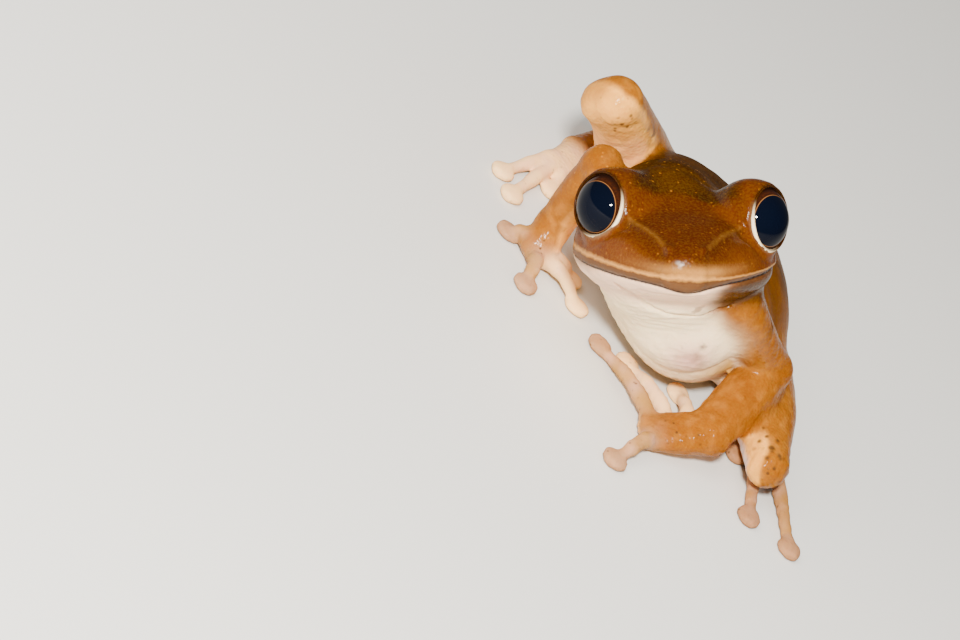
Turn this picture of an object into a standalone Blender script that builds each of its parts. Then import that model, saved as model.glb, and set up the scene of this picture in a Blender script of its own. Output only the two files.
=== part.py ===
"""A brown common tree frog at life size, as a still model, parted into its named body parts.

The body is drawn in millimetres, +Z up, the head towards -Y and the frog's left towards +X.
Every part is a round form carried along a short path of stations; where two parts meet, one
of them is cut back by a slightly larger copy of the other, which leaves a thin open cut.
"""
import math

import bmesh
import bpy
import numpy as np

# ---- driving dimensions, millimetres and degrees ------------------------------------------
MM = 0.001
CUT = 0.3                       # width of the thin cut between two parts
CENTRE = (4.06, 9.97)          # middle of the model's footprint in the drawing's own X and Y

EYE_MIDDLE = (-3.7, -7.9, 22.8)  # the point midway between the eyeballs
HEAD_YAW, HEAD_PITCH, HEAD_ROLL = 10.6, 22.0, 32.4
EYE_RADIUS = 3.9
EYE_OFFSET = 7.2                # eyeball centre from the head's middle plane
EYE_OPENING = 3.3               # radius of the opening between the lids
EYE_LOOK = (0.70, 0.70, 0.12)   # forward, sideways, up
LID = 0.8                       # lid's height over the eyeball, the cut included

# head sections: forward, half width, crown height, chin height, middle height
HEAD_SECTIONS = (
    (-9.5, 8.6, -0.6, -9.0, -4.6),
    (-6.5, 10.2, 0.6, -9.8, -5.0),
    (-3.0, 10.7, 1.3, -9.8, -5.2),
    (1.0, 9.9, 1.3, -9.1, -5.2),
    (4.5, 8.4, 0.5, -8.1, -5.1),
    (8.0, 6.2, -0.5, -6.9, -4.8),
    (10.6, 4.0, -1.4, -6.0, -4.4),
    (12.0, 2.2, -2.2, -5.3, -4.0),
)

# trunk stations: x, y, z, half width, half height, lean (left side up is positive)
TRUNK = (
    (0.8, 34.5, 4.6, 4.4, 3.6, -5.0),
    (0.7, 30.5, 5.5, 7.0, 4.8, -8.0),
    (0.8, 26.0, 6.6, 9.8, 5.8, -11.0),
    (1.5, 20.0, 7.8, 12.4, 6.8, -16.0),
    (2.1, 14.0, 8.8, 12.8, 7.5, -19.0),
    (2.3, 8.0, 9.8, 11.7, 7.9, -21.0),
    (2.8, 2.8, 10.9, 9.9, 8.2, -22.0),
    (3.0, -0.8, 12.6, 7.9, 7.5, -20.0),
)

# limb joints
ARM = {
    "left": {"shoulder": (7.4, -3.6, 16.8), "elbow": (15.2, 4.4, 10.0),
             "wrist": (14.4, -5.7, 4.2), "palm": (10.5, -8.4, 1.9)},
    "right": {"shoulder": (-5.0, -3.0, 13.0), "elbow": (-13.4, 5.0, 14.4),
              "wrist": (-12.9, 6.6, 4.1), "palm": (-12.5, 4.6, 1.9)},
}
LEG = {
    "left": {"hip": (6.2, 25.0, 6.2), "knee": (21.7, -3.8, 5.0),
             "heel": (10.6, 28.5, 1.8), "ball": (18.0, 13.6, 1.7)},
    "right": {"hip": (-9.4, 28.0, 5.6), "knee": (-16.8, 11.2, 18.4),
              "heel": (-14.6, 39.0, 1.8), "ball": (-17.0, 29.2, 1.7)},
}
SHANK_SET = {"left": (0.0, 0.6, 0.3), "right": (-1.2, 0.4, -1.4)}  # knee end, from the thigh's
SHANK_OVER_HEEL = 1.8
FORE_GIRTH = {"left": 1.0, "right": 0.78}  # how stout the forearm and hand are
KNEE_RADIUS = {"left": 2.3, "right": 2.9}
# digits: azimuth from straight ahead (towards +X is positive) and reach from palm or ball
FINGERS = {
    "left": ((-156.7, 10.3), (-127.6, 12.6), (-126.5, 15.0), (-13.5, 10.4)),
    "right": ((112.0, 6.8), (76.0, 9.2), (15.0, 7.6), (-100.0, 5.2)),
}
FINGER_ROOT = {"finger_1_left": (13.2, -4.6), "finger_2_left": (12.0, -6.0)}  # off the palm
TOES = {
    "left": ((-8.0, 11.0), (4.0, 13.0), (15.8, 22.6), (30.0, 24.2), (38.0, 10.4)),
    "right": ((34.0, 6.4), (20.0, 8.4), (7.0, 11.0), (-6.0, 18.4), (-17.0, 16.2)),
}
DISC_HALF_WIDTH = 1.55
DISC_HALF_LENGTH = 1.55
DISC_HALF_HEIGHT = 0.62
DIGIT_RADIUS = 0.85

SKIN_BROWN = (0.36, 0.17, 0.06, 1.0)
SKIN_TAN = (0.62, 0.33, 0.12, 1.0)
SKIN_PALE = (0.76, 0.58, 0.44, 1.0)
EYE_DARK = (0.01, 0.012, 0.03, 1.0)


# ---- small tools --------------------------------------------------------------------------
def unit(vector):
    """Return the vector at length one."""
    vector = np.asarray(vector, float)
    return vector / np.linalg.norm(vector)


def smooth_rows(rows, count):
    """Return count rows read along a Catmull-Rom curve through the given rows."""
    rows = np.array(rows, float)
    padded = np.vstack([2 * rows[0] - rows[1], rows, 2 * rows[-1] - rows[-2]])
    spans = len(rows) - 1
    found = []
    for place in np.linspace(0.0, spans, count):
        span = min(int(place), spans - 1)
        t = place - span
        a, b, c, d = padded[span:span + 4]
        found.append(0.5 * (2 * b + (c - a) * t + (2 * a - 5 * b + 4 * c - d) * t * t
                            + (3 * b - a - 3 * c + d) * t ** 3))
    return np.array(found)


def superellipse(sides, power):
    """Return the cosine-like and sine-like weights of a superellipse's points."""
    angles = np.arange(sides) * 2 * math.pi / sides
    cos, sin = np.cos(angles), np.sin(angles)
    return (np.sign(cos) * np.abs(cos) ** (2 / power),
            np.sign(sin) * np.abs(sin) ** (2 / power))


def new_material(name, colour, roughness):
    """Make a Principled material of one colour."""
    material = bpy.data.materials.new(name)
    material.use_nodes = True
    shader = material.node_tree.nodes["Principled BSDF"]
    shader.inputs["Base Color"].default_value = colour
    shader.inputs["Roughness"].default_value = roughness
    return material


def mesh_object(name, rings, poles, flat_floor, colour, roughness=0.4):
    """Close a stack of rings with a pole at each end and make an object of it."""
    bm = bmesh.new()
    stack = []
    for ring in rings:
        points = np.array(ring) - np.array([CENTRE[0], CENTRE[1], 0.0])
        if flat_floor:
            points[:, 2] = np.maximum(points[:, 2], 0.0)
        stack.append([bm.verts.new(point * MM) for point in points])
    sides = len(stack[0])
    for lower, upper in zip(stack, stack[1:]):
        for i in range(sides):
            j = (i + 1) % sides
            bm.faces.new((lower[i], lower[j], upper[j], upper[i]))
    for ring, pole in ((stack[0], poles[0]), (stack[-1], poles[1])):
        point = np.array(pole) - np.array([CENTRE[0], CENTRE[1], 0.0])
        if flat_floor:
            point[2] = max(point[2], 0.0)
        tip = bm.verts.new(point * MM)
        for i in range(sides):
            bm.faces.new((ring[i], ring[(i + 1) % sides], tip))
    bmesh.ops.recalc_face_normals(bm, faces=bm.faces)
    mesh = bpy.data.meshes.new(name)
    bm.to_mesh(mesh)
    bm.free()
    mesh.shade_smooth()
    obj = bpy.data.objects.new(name, mesh)
    bpy.context.scene.collection.objects.link(obj)
    obj.data.materials.append(new_material(name, colour, roughness))
    return obj


# ---- forms --------------------------------------------------------------------------------
class Form:
    """A round body part: stations (x, y, z, half width, half height, lean) on a path."""

    def __init__(self, name, stations, rings, sides, colour, power=2.0, flat_floor=False,
                 cap=0.9):
        """Keep the form's sizes; cap is an end's depth as a share of its half height."""
        self.name, self.stations, self.colour = name, stations, colour
        self.ring_count, self.sides, self.power = rings, sides, power
        self.flat_floor, self.cap = flat_floor, cap

    def rings(self, grow):
        """Return the rings and the two poles, grown outward by the given amount."""
        rows = smooth_rows(self.stations, self.ring_count)
        points = rows[:, :3]
        tangents = np.gradient(points, axis=0)
        across, over = superellipse(self.sides, self.power)
        rings, frames = [], []
        for row, tangent in zip(rows, tangents):
            tangent = unit(tangent)
            side = unit(np.cross(tangent, (0.0, 0.0, 1.0)))
            up = np.cross(side, tangent)
            side = side if side[0] >= 0 else -side
            lean = math.radians(row[5])
            wide = side * math.cos(lean) + up * math.sin(lean)
            tall = up * math.cos(lean) - side * math.sin(lean)
            frames.append((row[:3], tangent, wide, tall, row[3] + grow, row[4] + grow))
        def ring(frame, shift, scale):
            centre, tangent, wide, tall, half_width, half_height = frame
            centre = centre + tangent * shift
            return [centre + wide * half_width * scale * a + tall * half_height * scale * b
                    for a, b in zip(across, over)]
        first, last = frames[0], frames[-1]
        steps = (math.radians(62), math.radians(34))
        for angle in steps:
            rings.append(ring(first, -first[5] * self.cap * math.sin(angle), math.cos(angle)))
        rings.extend(ring(frame, 0.0, 1.0) for frame in frames)
        for angle in reversed(steps):
            rings.append(ring(last, last[5] * self.cap * math.sin(angle), math.cos(angle)))
        poles = (first[0] - first[1] * first[5] * self.cap,
                 last[0] + last[1] * last[5] * self.cap)
        return rings, poles

    def build(self, grow=0.0):
        """Make the part, or its larger cutter when grow is above zero."""
        rings, poles = self.rings(grow)
        name = self.name if not grow else self.name + "_cutter"
        return mesh_object(name, rings, poles, self.flat_floor and not grow, self.colour)


def head_axes():
    """Return the head's forward, left and up directions from its yaw, pitch and roll."""
    yaw, pitch, roll = (math.radians(a) for a in (HEAD_YAW, HEAD_PITCH, HEAD_ROLL))
    forward = np.array([math.sin(yaw) * math.cos(pitch), -math.cos(yaw) * math.cos(pitch),
                        math.sin(pitch)])
    level = np.array([math.cos(yaw), math.sin(yaw), 0.0])
    upright = np.cross(forward, level) * -1.0
    upright = upright if upright[2] > 0 else -upright
    left = level * math.cos(roll) + upright * math.sin(roll)
    up = upright * math.cos(roll) - level * math.sin(roll)
    return forward, left, up


def head_point(forward, left, up):
    """Return a point of the head frame, whose origin lies midway between the eyes."""
    axes = head_axes()
    return np.array(EYE_MIDDLE) + forward * axes[0] + left * axes[1] + up * axes[2]


class Head(Form):
    """The head: sections that differ above and below the line of the mouth."""

    def rings(self, grow):
        """Return the head's rings from nape to snout, each in the head's own plane."""
        rows = smooth_rows(HEAD_SECTIONS, self.ring_count)
        across, over = superellipse(self.sides, self.power)
        rings = []
        ends = ((rows[0], -1.0, 2.2), (rows[-1], 1.0, 0.7))
        def ring(row, shift, scale):
            forward, half_width, crown, chin, middle = row
            points = []
            for a, b in zip(across, over):
                rise = (crown - middle + grow) if b > 0 else (middle - chin + grow)
                points.append(head_point(forward + shift, (half_width + grow) * scale * a,
                                         middle + rise * scale * b))
            return points
        steps = (math.radians(62), math.radians(34))
        for angle in steps:
            rings.append(ring(rows[0], -(ends[0][2] + grow) * math.sin(angle), math.cos(angle)))
        rings.extend(ring(row, 0.0, 1.0) for row in rows)
        for angle in reversed(steps):
            rings.append(ring(rows[-1], (ends[1][2] + grow) * math.sin(angle), math.cos(angle)))
        poles = [head_point(row[0] + sign * (depth + grow), 0.0, row[4])
                 for row, sign, depth in ends]
        return rings, poles


def sphere(name, centre, radius, colour, segments=14):
    """Make a round ball as an object, with its poles upright."""
    mesh = bpy.data.meshes.new(name)
    bm = bmesh.new()
    bmesh.ops.create_uvsphere(bm, u_segments=segments, v_segments=segments // 2,
                              radius=radius * MM)
    middle = (np.array(centre) - np.array([CENTRE[0], CENTRE[1], 0.0])) * MM
    bmesh.ops.translate(bm, verts=bm.verts, vec=tuple(middle))
    bm.to_mesh(mesh)
    bm.free()
    mesh.shade_smooth()
    obj = bpy.data.objects.new(name, mesh)
    bpy.context.scene.collection.objects.link(obj)
    obj.data.materials.append(new_material(name, colour, 0.1))
    return obj


def rod(name, start, end, radius, sides=16):
    """Make a straight round rod between two points, used as a cutter."""
    start, end = np.array(start, float), np.array(end, float)
    along = unit(end - start)
    side = unit(np.cross(along, (0.0, 0.0, 1.0)))
    up = np.cross(side, along)
    angles = np.arange(sides) * 2 * math.pi / sides
    rings = [[base + radius * (side * math.cos(a) + up * math.sin(a)) for a in angles]
             for base in (start, end)]
    return mesh_object(name, rings, (start, end), False, EYE_DARK)


def as_cutter(obj):
    """Turn an object into a cutter that the model leaves out."""
    obj.hide_render = True
    obj.display_type = "WIRE"
    return obj


def combine(obj, other, operation):
    """Put a Boolean modifier on the object."""
    modifier = obj.modifiers.new(operation.lower() + "_" + other.name, "BOOLEAN")
    modifier.operation = operation
    modifier.solver = "EXACT"
    modifier.object = other


# ---- the body's parts ---------------------------------------------------------------------
def between(a, b, share):
    """Return the point that lies a share of the way from a to b."""
    return np.array(a) * (1.0 - share) + np.array(b) * share


def segment(name, start, end, sizes, colour, rings=6, sides=12, bow=(0.0, 0.0, 0.0), **more):
    """Make a limb segment: sizes are (share of the way, half width, half height)."""
    stations = []
    for share, half_width, half_height in sizes:
        point = between(start, end, share) + np.array(bow) * math.sin(math.pi * share)
        stations.append((*point, half_width, half_height, 0.0))
    return Form(name, stations, rings, sides, colour, **more)


def arm_forms(side):
    """Return the upper arm, forearm and hand of one side."""
    joint = ARM[side]
    girth = FORE_GIRTH[side]
    upper = segment("upper_arm_" + side, joint["shoulder"], joint["elbow"],
                    ((0.0, 2.4, 2.6), (0.35, 2.5, 2.6), (0.75, 2.4, 2.4), (1.0, 2.3, 2.3)),
                    SKIN_TAN)
    fore = segment("forearm_" + side, joint["elbow"], joint["wrist"],
                   [(at, wide * girth, tall * girth) for at, wide, tall in (
                       (0.08, 2.1, 2.3), (0.35, 2.9, 2.9), (0.7, 2.8, 2.7), (0.95, 2.6, 2.2))],
                   SKIN_TAN)
    tip = between(joint["wrist"], joint["palm"], 1.25)
    tip[2] = 1.5
    hand = segment("hand_" + side, between(joint["wrist"], joint["palm"], 0.1), tip,
                   ((0.0, 2.5 * girth, 2.0), (0.5, 2.7 * girth, 1.75), (1.0, 2.5 * girth, 1.3)),
                   SKIN_TAN, rings=5, flat_floor=True)
    return [upper, fore, hand]


def leg_forms(side):
    """Return the thigh, shank, tarsus and foot of one side."""
    joint = LEG[side]
    knee = KNEE_RADIUS[side]
    lift = (0.0, 0.0, 0.8)
    thigh = segment("thigh_" + side, joint["hip"], joint["knee"],
                    ((0.0, 4.2, 4.6), (0.3, 4.2, 4.2), (0.65, 3.5, 3.5), (1.0, knee, knee)),
                    SKIN_TAN, rings=7)
    shank_top = np.array(joint["knee"]) + np.array(SHANK_SET[side])
    shank_end = np.array(joint["heel"]) + np.array((0.0, 0.0, SHANK_OVER_HEEL))
    shank = segment("shank_" + side, shank_top, shank_end,
                    ((0.0, knee - 0.5, knee - 0.4), (0.3, 2.8, 2.8), (0.65, 2.4, 2.4), (1.0, 1.8, 1.8)),
                    SKIN_TAN, rings=7, bow=lift)
    tarsus = segment("tarsus_" + side, joint["heel"], joint["ball"],
                     ((0.0, 1.9, 1.9), (0.5, 1.6, 1.5), (0.95, 1.7, 1.4)),
                     SKIN_TAN, rings=5, flat_floor=True)
    toes = TOES[side]
    heading = sum(a for a, _ in toes) / len(toes)
    reach = 0.24 * max(r for _, r in toes)
    ahead = np.array(joint["ball"]) + reach * np.array(
        [math.sin(math.radians(heading)), -math.cos(math.radians(heading)), 0.0])
    ahead[2] = 0.9
    foot = segment("foot_" + side, joint["ball"], ahead,
                   ((0.0, 1.7, 1.4), (0.5, 2.1, 1.2), (1.0, 2.7, 0.9)),
                   SKIN_TAN, rings=5, flat_floor=True)
    return [thigh, shank, tarsus, foot]


def digit(name, root, azimuth, reach, arch, colour):
    """Return a finger or toe that arches from its root to a flat round disc."""
    heading = np.array([math.sin(math.radians(azimuth)), -math.cos(math.radians(azimuth)), 0.0])
    tip = np.array([root[0], root[1], 0.0]) + heading * (reach - DISC_HALF_LENGTH)
    base = np.array([root[0], root[1], 1.4]) + heading * 1.6
    stations = []
    for share, lift, wide, tall in (
            (0.0, 0.0, 1.1, 1.0), (0.3, 0.9, 0.95, 0.9), (0.6, 1.0, DIGIT_RADIUS, 0.8),
            (0.86, 0.3, DIGIT_RADIUS, 0.7)):
        point = between(base, tip, share)
        point[2] = 1.4 * (1.0 - share) + 0.6 * share + lift * arch
        stations.append((*point, wide, tall, 0.0))
    pad = tip.copy()
    pad[2] = DISC_HALF_HEIGHT
    stations.append((*pad, DISC_HALF_WIDTH, DISC_HALF_HEIGHT + 0.1, 0.0))
    end = pad + heading * DISC_HALF_LENGTH * 0.6
    stations.append((*end, DISC_HALF_WIDTH * 0.8, DISC_HALF_HEIGHT, 0.0))
    return Form(name, stations, len(stations), 8, colour, flat_floor=True, cap=1.15)


def build_eyes(head):
    """Raise the lids on the head, open the sockets and set the two eyeballs."""
    forward, left, up = head_axes()
    for side, sign in (("left", 1.0), ("right", -1.0)):
        centre = head_point(0.0, sign * EYE_OFFSET, 0.0)
        look = unit(EYE_LOOK[0] * forward + sign * EYE_LOOK[1] * left + EYE_LOOK[2] * up)
        lid = sphere("lid_" + side, centre, EYE_RADIUS + LID, SKIN_BROWN)
        combine(head, as_cutter(lid), "UNION")
        socket = sphere("socket_" + side, centre, EYE_RADIUS + CUT, SKIN_BROWN)
        combine(head, as_cutter(socket), "DIFFERENCE")
        opening = rod("opening_" + side, centre + look * 1.2, centre + look * 7.0, EYE_OPENING)
        combine(head, as_cutter(opening), "DIFFERENCE")
        sphere("eye_" + side, centre, EYE_RADIUS, EYE_DARK)


def main():
    """Build every part, then part them with thin cuts."""
    for old in list(bpy.data.objects):
        bpy.data.objects.remove(old, do_unlink=True)

    head = Head("head", (), 10, 24, SKIN_BROWN, power=2.3)
    trunk = Form("trunk", TRUNK, 10, 24, SKIN_BROWN, power=2.4, flat_floor=True)
    forms = {"head": head, "trunk": trunk}
    cuts = [("trunk", "head")]
    for side in ("left", "right"):
        for form in arm_forms(side) + leg_forms(side):
            forms[form.name] = form
        for kind, near, far in (("finger", 1, 2), ("finger", 2, 3), ("finger", 4, 3),
                                ("toe", 1, 2), ("toe", 2, 3), ("toe", 3, 4), ("toe", 5, 4)):
            cuts.append(("%s_%d_%s" % (kind, near, side), "%s_%d_%s" % (kind, far, side)))
        for number, (azimuth, reach) in enumerate(FINGERS[side], 1):
            name = "finger_%d_%s" % (number, side)
            root = FINGER_ROOT.get(name, ARM[side]["palm"])
            forms[name] = digit(name, root, azimuth, reach, 0.8, SKIN_PALE)
            cuts.append((name, "hand_" + side))
            if name in FINGER_ROOT:
                cuts.append((name, "forearm_" + side))
        for number, (azimuth, reach) in enumerate(TOES[side], 1):
            name = "toe_%d_%s" % (number, side)
            forms[name] = digit(name, LEG[side]["ball"], azimuth, reach, 0.2, SKIN_PALE)
            cuts.append((name, "foot_" + side))
        for part, cutter in (("upper_arm", "trunk"), ("forearm", "upper_arm"),
                             ("hand", "forearm"), ("thigh", "trunk"), ("shank", "thigh"),
                             ("tarsus", "shank"), ("foot", "tarsus"), ("upper_arm", "head"),
                             ("shank", "trunk"), ("upper_arm", "thigh"),
                             ("forearm", "thigh"), ("forearm", "trunk")):
            other = cutter if cutter in ("trunk", "head") else cutter + "_" + side
            cuts.append((part + "_" + side, other))

    parts = {name: form.build() for name, form in forms.items()}
    cutters = {}
    for part, cutter in cuts:
        if cutter not in cutters:
            cutters[cutter] = as_cutter(forms[cutter].build(CUT))
        combine(parts[part], cutters[cutter], "DIFFERENCE")
    build_eyes(parts["head"])


main()
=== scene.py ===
"""A brown common tree frog at life size: its skin, eyes and studio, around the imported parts.

Lengths are millimetres in the drawing's own axes, +Z up, the head towards -Y and the frog's
left towards +X, until a mesh is written: Piece.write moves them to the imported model's frame.
"""
import logging
import math
from dataclasses import dataclass, field
from enum import Enum
from typing import Sequence

import bpy
import numpy as np
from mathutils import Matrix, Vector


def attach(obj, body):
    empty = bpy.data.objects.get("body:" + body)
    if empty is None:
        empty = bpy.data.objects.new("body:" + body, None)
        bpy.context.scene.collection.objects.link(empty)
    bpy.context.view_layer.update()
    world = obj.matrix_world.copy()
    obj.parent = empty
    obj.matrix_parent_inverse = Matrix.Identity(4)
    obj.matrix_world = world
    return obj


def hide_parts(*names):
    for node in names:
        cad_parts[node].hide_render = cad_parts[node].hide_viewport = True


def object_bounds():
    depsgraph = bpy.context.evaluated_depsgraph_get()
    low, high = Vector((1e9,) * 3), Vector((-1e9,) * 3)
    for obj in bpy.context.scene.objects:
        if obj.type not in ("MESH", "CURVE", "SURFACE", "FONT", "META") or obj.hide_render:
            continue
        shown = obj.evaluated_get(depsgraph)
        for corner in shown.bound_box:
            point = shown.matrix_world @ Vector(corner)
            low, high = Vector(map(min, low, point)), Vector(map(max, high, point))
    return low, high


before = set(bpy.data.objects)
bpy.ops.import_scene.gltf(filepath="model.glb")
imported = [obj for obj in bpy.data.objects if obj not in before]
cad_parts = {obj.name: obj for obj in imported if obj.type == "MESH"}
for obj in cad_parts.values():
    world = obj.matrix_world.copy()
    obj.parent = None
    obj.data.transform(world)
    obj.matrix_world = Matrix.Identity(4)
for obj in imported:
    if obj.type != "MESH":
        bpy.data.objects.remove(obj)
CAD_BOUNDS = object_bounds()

import openvdb
from mathutils import Matrix

LOG = logging.getLogger("frog")
Array = np.ndarray
Row = Sequence[float]
Tree, Node, Socket = bpy.types.NodeTree, bpy.types.Node, bpy.types.NodeSocket
Material, Object = bpy.types.Material, bpy.types.Object

MM = 0.001
CENTRE = np.array([4.06, 9.97, 0.0])  # the footprint's middle in the drawing's axes
FAR = 6.0  # a distance that stands for "nowhere near"
REACH = 3.2  # how far from a form its distance is still worked out
BATCH = 60000  # points whose distance to a form is worked out at once
QUARTER_TURN = 90.0  # degrees
FINGERS, TOES = 4, 5  # on each hand and foot
ARM_FORMS = ("upper_arm", "forearm", "hand")
LEG_FORMS = ("thigh", "shank", "tarsus", "foot")


class Side(Enum):
    """The frog's own left and right; the value is the sign of the head's sideways axis."""

    LEFT = 1.0
    RIGHT = -1.0

    @property
    def word(self) -> str:
        """The side's name as the nodes spell it."""
        return self.name.lower()


# ---- small tools ----
def unit(vectors: Array) -> Array:
    """Return vectors at length one."""
    vectors = np.asarray(vectors, float)
    return vectors / np.linalg.norm(vectors, axis=-1, keepdims=True)


def length(rows: Array) -> Array:
    """Return the length of each row."""
    return np.linalg.norm(rows, axis=1)


def step(values: Array, low: float, high: float) -> Array:
    """Return 0 below low and 1 above high with a smooth rise between: 3t^2 - 2t^3.

    Args:
        values: What is compared.
        low: Where the rise starts.
        high: Where the rise ends; it may be below low, which turns the rise into a fall.

    Returns:
        The weights, from 0 to 1.
    """
    t = np.clip((values - low) / (high - low), 0.0, 1.0)
    return t * t * (3.0 - 2.0 * t)


def bell(values: Array, width: float) -> Array:
    """Return exp(-(value / width)^2), a soft hump one width wide to each side."""
    return np.exp(-(values / width) ** 2)


def through(rows: Sequence[Row], steps: int) -> Array:
    """Return points on the Catmull-Rom curve through the rows, steps of them to each span.

    Args:
        rows: The points that the curve goes through.
        steps: How many stretches each span is cut into.

    Returns:
        The points, spans * steps + 1 of them.
    """
    rows = np.asarray(rows, float)
    padded = np.vstack([2 * rows[0] - rows[1], rows, 2 * rows[-1] - rows[-2]])
    spans = len(rows) - 1
    place = np.linspace(0.0, spans, spans * steps + 1)
    i = np.minimum(place.astype(int), spans - 1)
    t = (place - i)[:, None]
    a, b, c, d = padded[i], padded[i + 1], padded[i + 2], padded[i + 3]
    return 0.5 * (2 * b + (c - a) * t + (2 * a - 5 * b + 4 * c - d) * t * t
                  + (3 * b - a - 3 * c + d) * t ** 3)


def join(a: Array, b: Array, soft: float) -> Array:
    """Return the union of two distances, min(a, b), rounded where they come within soft."""
    overlap = np.maximum(soft - np.abs(a - b), 0.0) / soft
    return np.minimum(a, b) - overlap * overlap * soft * 0.25


def carve(a: Array, b: Array, soft: float) -> Array:
    """Return the first distance with the second form cut out of it, edges rounded by soft."""
    return -join(-a, b, soft)


def noise(points: Array, size: float, seed: int = 0) -> Array:
    """Return smooth value noise from -1 to 1.

    Each corner of a lattice with cells of the given size has a hashed value, and a point's
    value is the smooth-step blend of the eight corners round it.

    Args:
        points: Where it is read, n by 3.
        size: The lattice cell in millimetres.
        seed: A whole number that picks another pattern.

    Returns:
        One value for each point.
    """
    place = points / size + 1000.0
    corner = np.floor(place).astype(np.int64)
    t = place - corner
    t = t * t * (3.0 - 2.0 * t)
    total = np.zeros(len(points))
    for dx, dy, dz in np.ndindex(2, 2, 2):
        x, y, z = corner[:, 0] + dx, corner[:, 1] + dy, corner[:, 2] + dz
        # large odd numbers scatter neighbouring corners
        key = (x * 73856093 ^ y * 19349663 ^ z * 83492791 ^ (seed + 1) * 2654435761)
        key = (key ^ (key >> 13)) * 1274126177 & 0xFFFFFFFF
        key = (key ^ (key >> 16)) & 0xFFFF
        weight = (np.where(dx, t[:, 0], 1 - t[:, 0]) * np.where(dy, t[:, 1], 1 - t[:, 1])
                  * np.where(dz, t[:, 2], 1 - t[:, 2]))
        total += weight * (key / 32767.5 - 1.0)
    return total


def fractal(points: Array, size: float, octaves: int = 3, seed: int = 0) -> Array:
    """Return noise summed over octaves, each at half the size and half the strength."""
    layers = [noise(points, size / 2 ** i, seed + i) / 2 ** i for i in range(octaves)]
    return sum(layers) / (2.0 - 2.0 ** (1 - octaves))


# ---- forms: distances to round bodies ----
@dataclass
class Sweep:
    """A superelliptic profile carried along a smooth path.

    The distance of a point is (s - 1) / |grad s|, where s is the size, as a share, of the
    like profile that goes through the point.

    Attributes:
        stations: Rows of x, y, z, half width, half height and lean in degrees.
        power: The profile's power: 2 is an ellipse, more is boxier.
        cap: How far an end bulges, as a share of its half height.
        steps: Samples of the path to each span between two stations.
        thick: True for a form so thick that its path's bends would show on its surface.
        low: The lowest corner of the box outside which the form counts as far.
        high: The highest corner of that box.
    """

    stations: Sequence[Row]
    power: float = 2.0
    cap: float = 0.9
    steps: int = 6
    thick: bool = False
    low: Array = field(init=False)
    high: Array = field(init=False)

    def __post_init__(self) -> None:
        """Work out the path's frames and the box outside which the form is far."""
        rows = through(self.stations, self.steps)
        self.centre, self.half = rows[:, :3], rows[:, 3:5]
        self.tangent = unit(np.gradient(self.centre, axis=0))
        side = unit(np.cross(self.tangent, (0.0, 0.0, 1.0)))
        up = np.cross(side, self.tangent)
        side = np.where(side[:, :1] >= 0, side, -side)
        lean = np.radians(rows[:, 5:6])
        self.wide = side * np.cos(lean) + up * np.sin(lean)
        self.tall = up * np.cos(lean) - side * np.sin(lean)
        spread = self.half.max() + REACH
        self.low, self.high = self.centre.min(0) - spread, self.centre.max(0) + spread

    def along(self, points: Array) -> tuple[Array, Array]:
        """Return each point's nearest stretch of the path and its share along the stretch.

        Args:
            points: In the drawing's axes.

        Returns:
            The number of the stretch, and the share along it from 0 to 1.
        """
        if self.thick:
            return self.flow(points)
        start, run = self.centre[:-1], np.diff(self.centre, axis=0)
        ahead = points @ run.T - (start * run).sum(1)
        share = np.clip(ahead / (run * run).sum(1), 0.0, 1.0)
        away = ((start * start).sum(1) - 2.0 * points @ start.T
                - 2.0 * share * ahead + share * share * (run * run).sum(1))
        stretch = away.argmin(1)
        return stretch, share[np.arange(len(points)), stretch]

    def flow(self, points: Array) -> tuple[Array, Array]:
        """Return the same, found smoothly: from the place along the chord, stepped closer.

        Args:
            points: In the drawing's axes.

        Returns:
            The number of the stretch, and the share along it from 0 to 1.
        """
        chord = unit(self.centre[-1] - self.centre[0])
        index = np.arange(len(self.centre), dtype=float)
        start = self.centre[0]
        place = np.interp((points - start) @ chord, (self.centre - start) @ chord, index)
        pace = length(np.gradient(self.centre, axis=0))
        for _ in range(2):
            def at(column: Array) -> Array:
                """Read one column of the path at the places."""
                return np.interp(place, index, column)

            ahead = sum((points[:, i] - at(self.centre[:, i])) * at(self.tangent[:, i])
                        for i in range(3))
            place = np.clip(place + 0.8 * ahead / at(pace), 0.0, index[-1])
        stretch = np.minimum(place.astype(int), len(self.centre) - 2)
        return stretch, place - stretch

    def distance(self, points: Array) -> Array:
        """Return the signed distance of points, below zero inside the form.

        Args:
            points: In the drawing's axes.

        Returns:
            One distance for each point, FAR where the form is nowhere near.
        """
        found = np.full(len(points), FAR)
        near = np.flatnonzero(np.all((points > self.low) & (points < self.high), axis=1))
        for part in np.array_split(near, len(near) // BATCH + 1):
            if len(part):
                found[part] = self._near(points[part])
        return np.minimum(found, FAR)

    def _near(self, points: Array) -> Array:
        """Return the distance of points that lie near the form.

        Args:
            points: In the drawing's axes.

        Returns:
            Signed distances.
        """
        stretch, share = self.along(points)
        t = share[:, None]

        def at(rows: Array) -> Array:
            """Read a row between two samples of the path."""
            return rows[stretch] * (1.0 - t) + rows[stretch + 1] * t

        offset = points - at(self.centre)
        a = (offset * at(self.wide)).sum(1)
        b = (offset * at(self.tall)).sum(1)
        ends = ((stretch == 0) & (share <= 0)) | ((stretch == len(self.centre) - 2) & (share >= 1))
        c = np.where(ends, (offset * at(self.tangent)).sum(1), 0.0)
        half = at(self.half)
        return profile_distance(a, b, c, half[:, 0], half[:, 1], half[:, 1] * self.cap, self.power)


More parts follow.
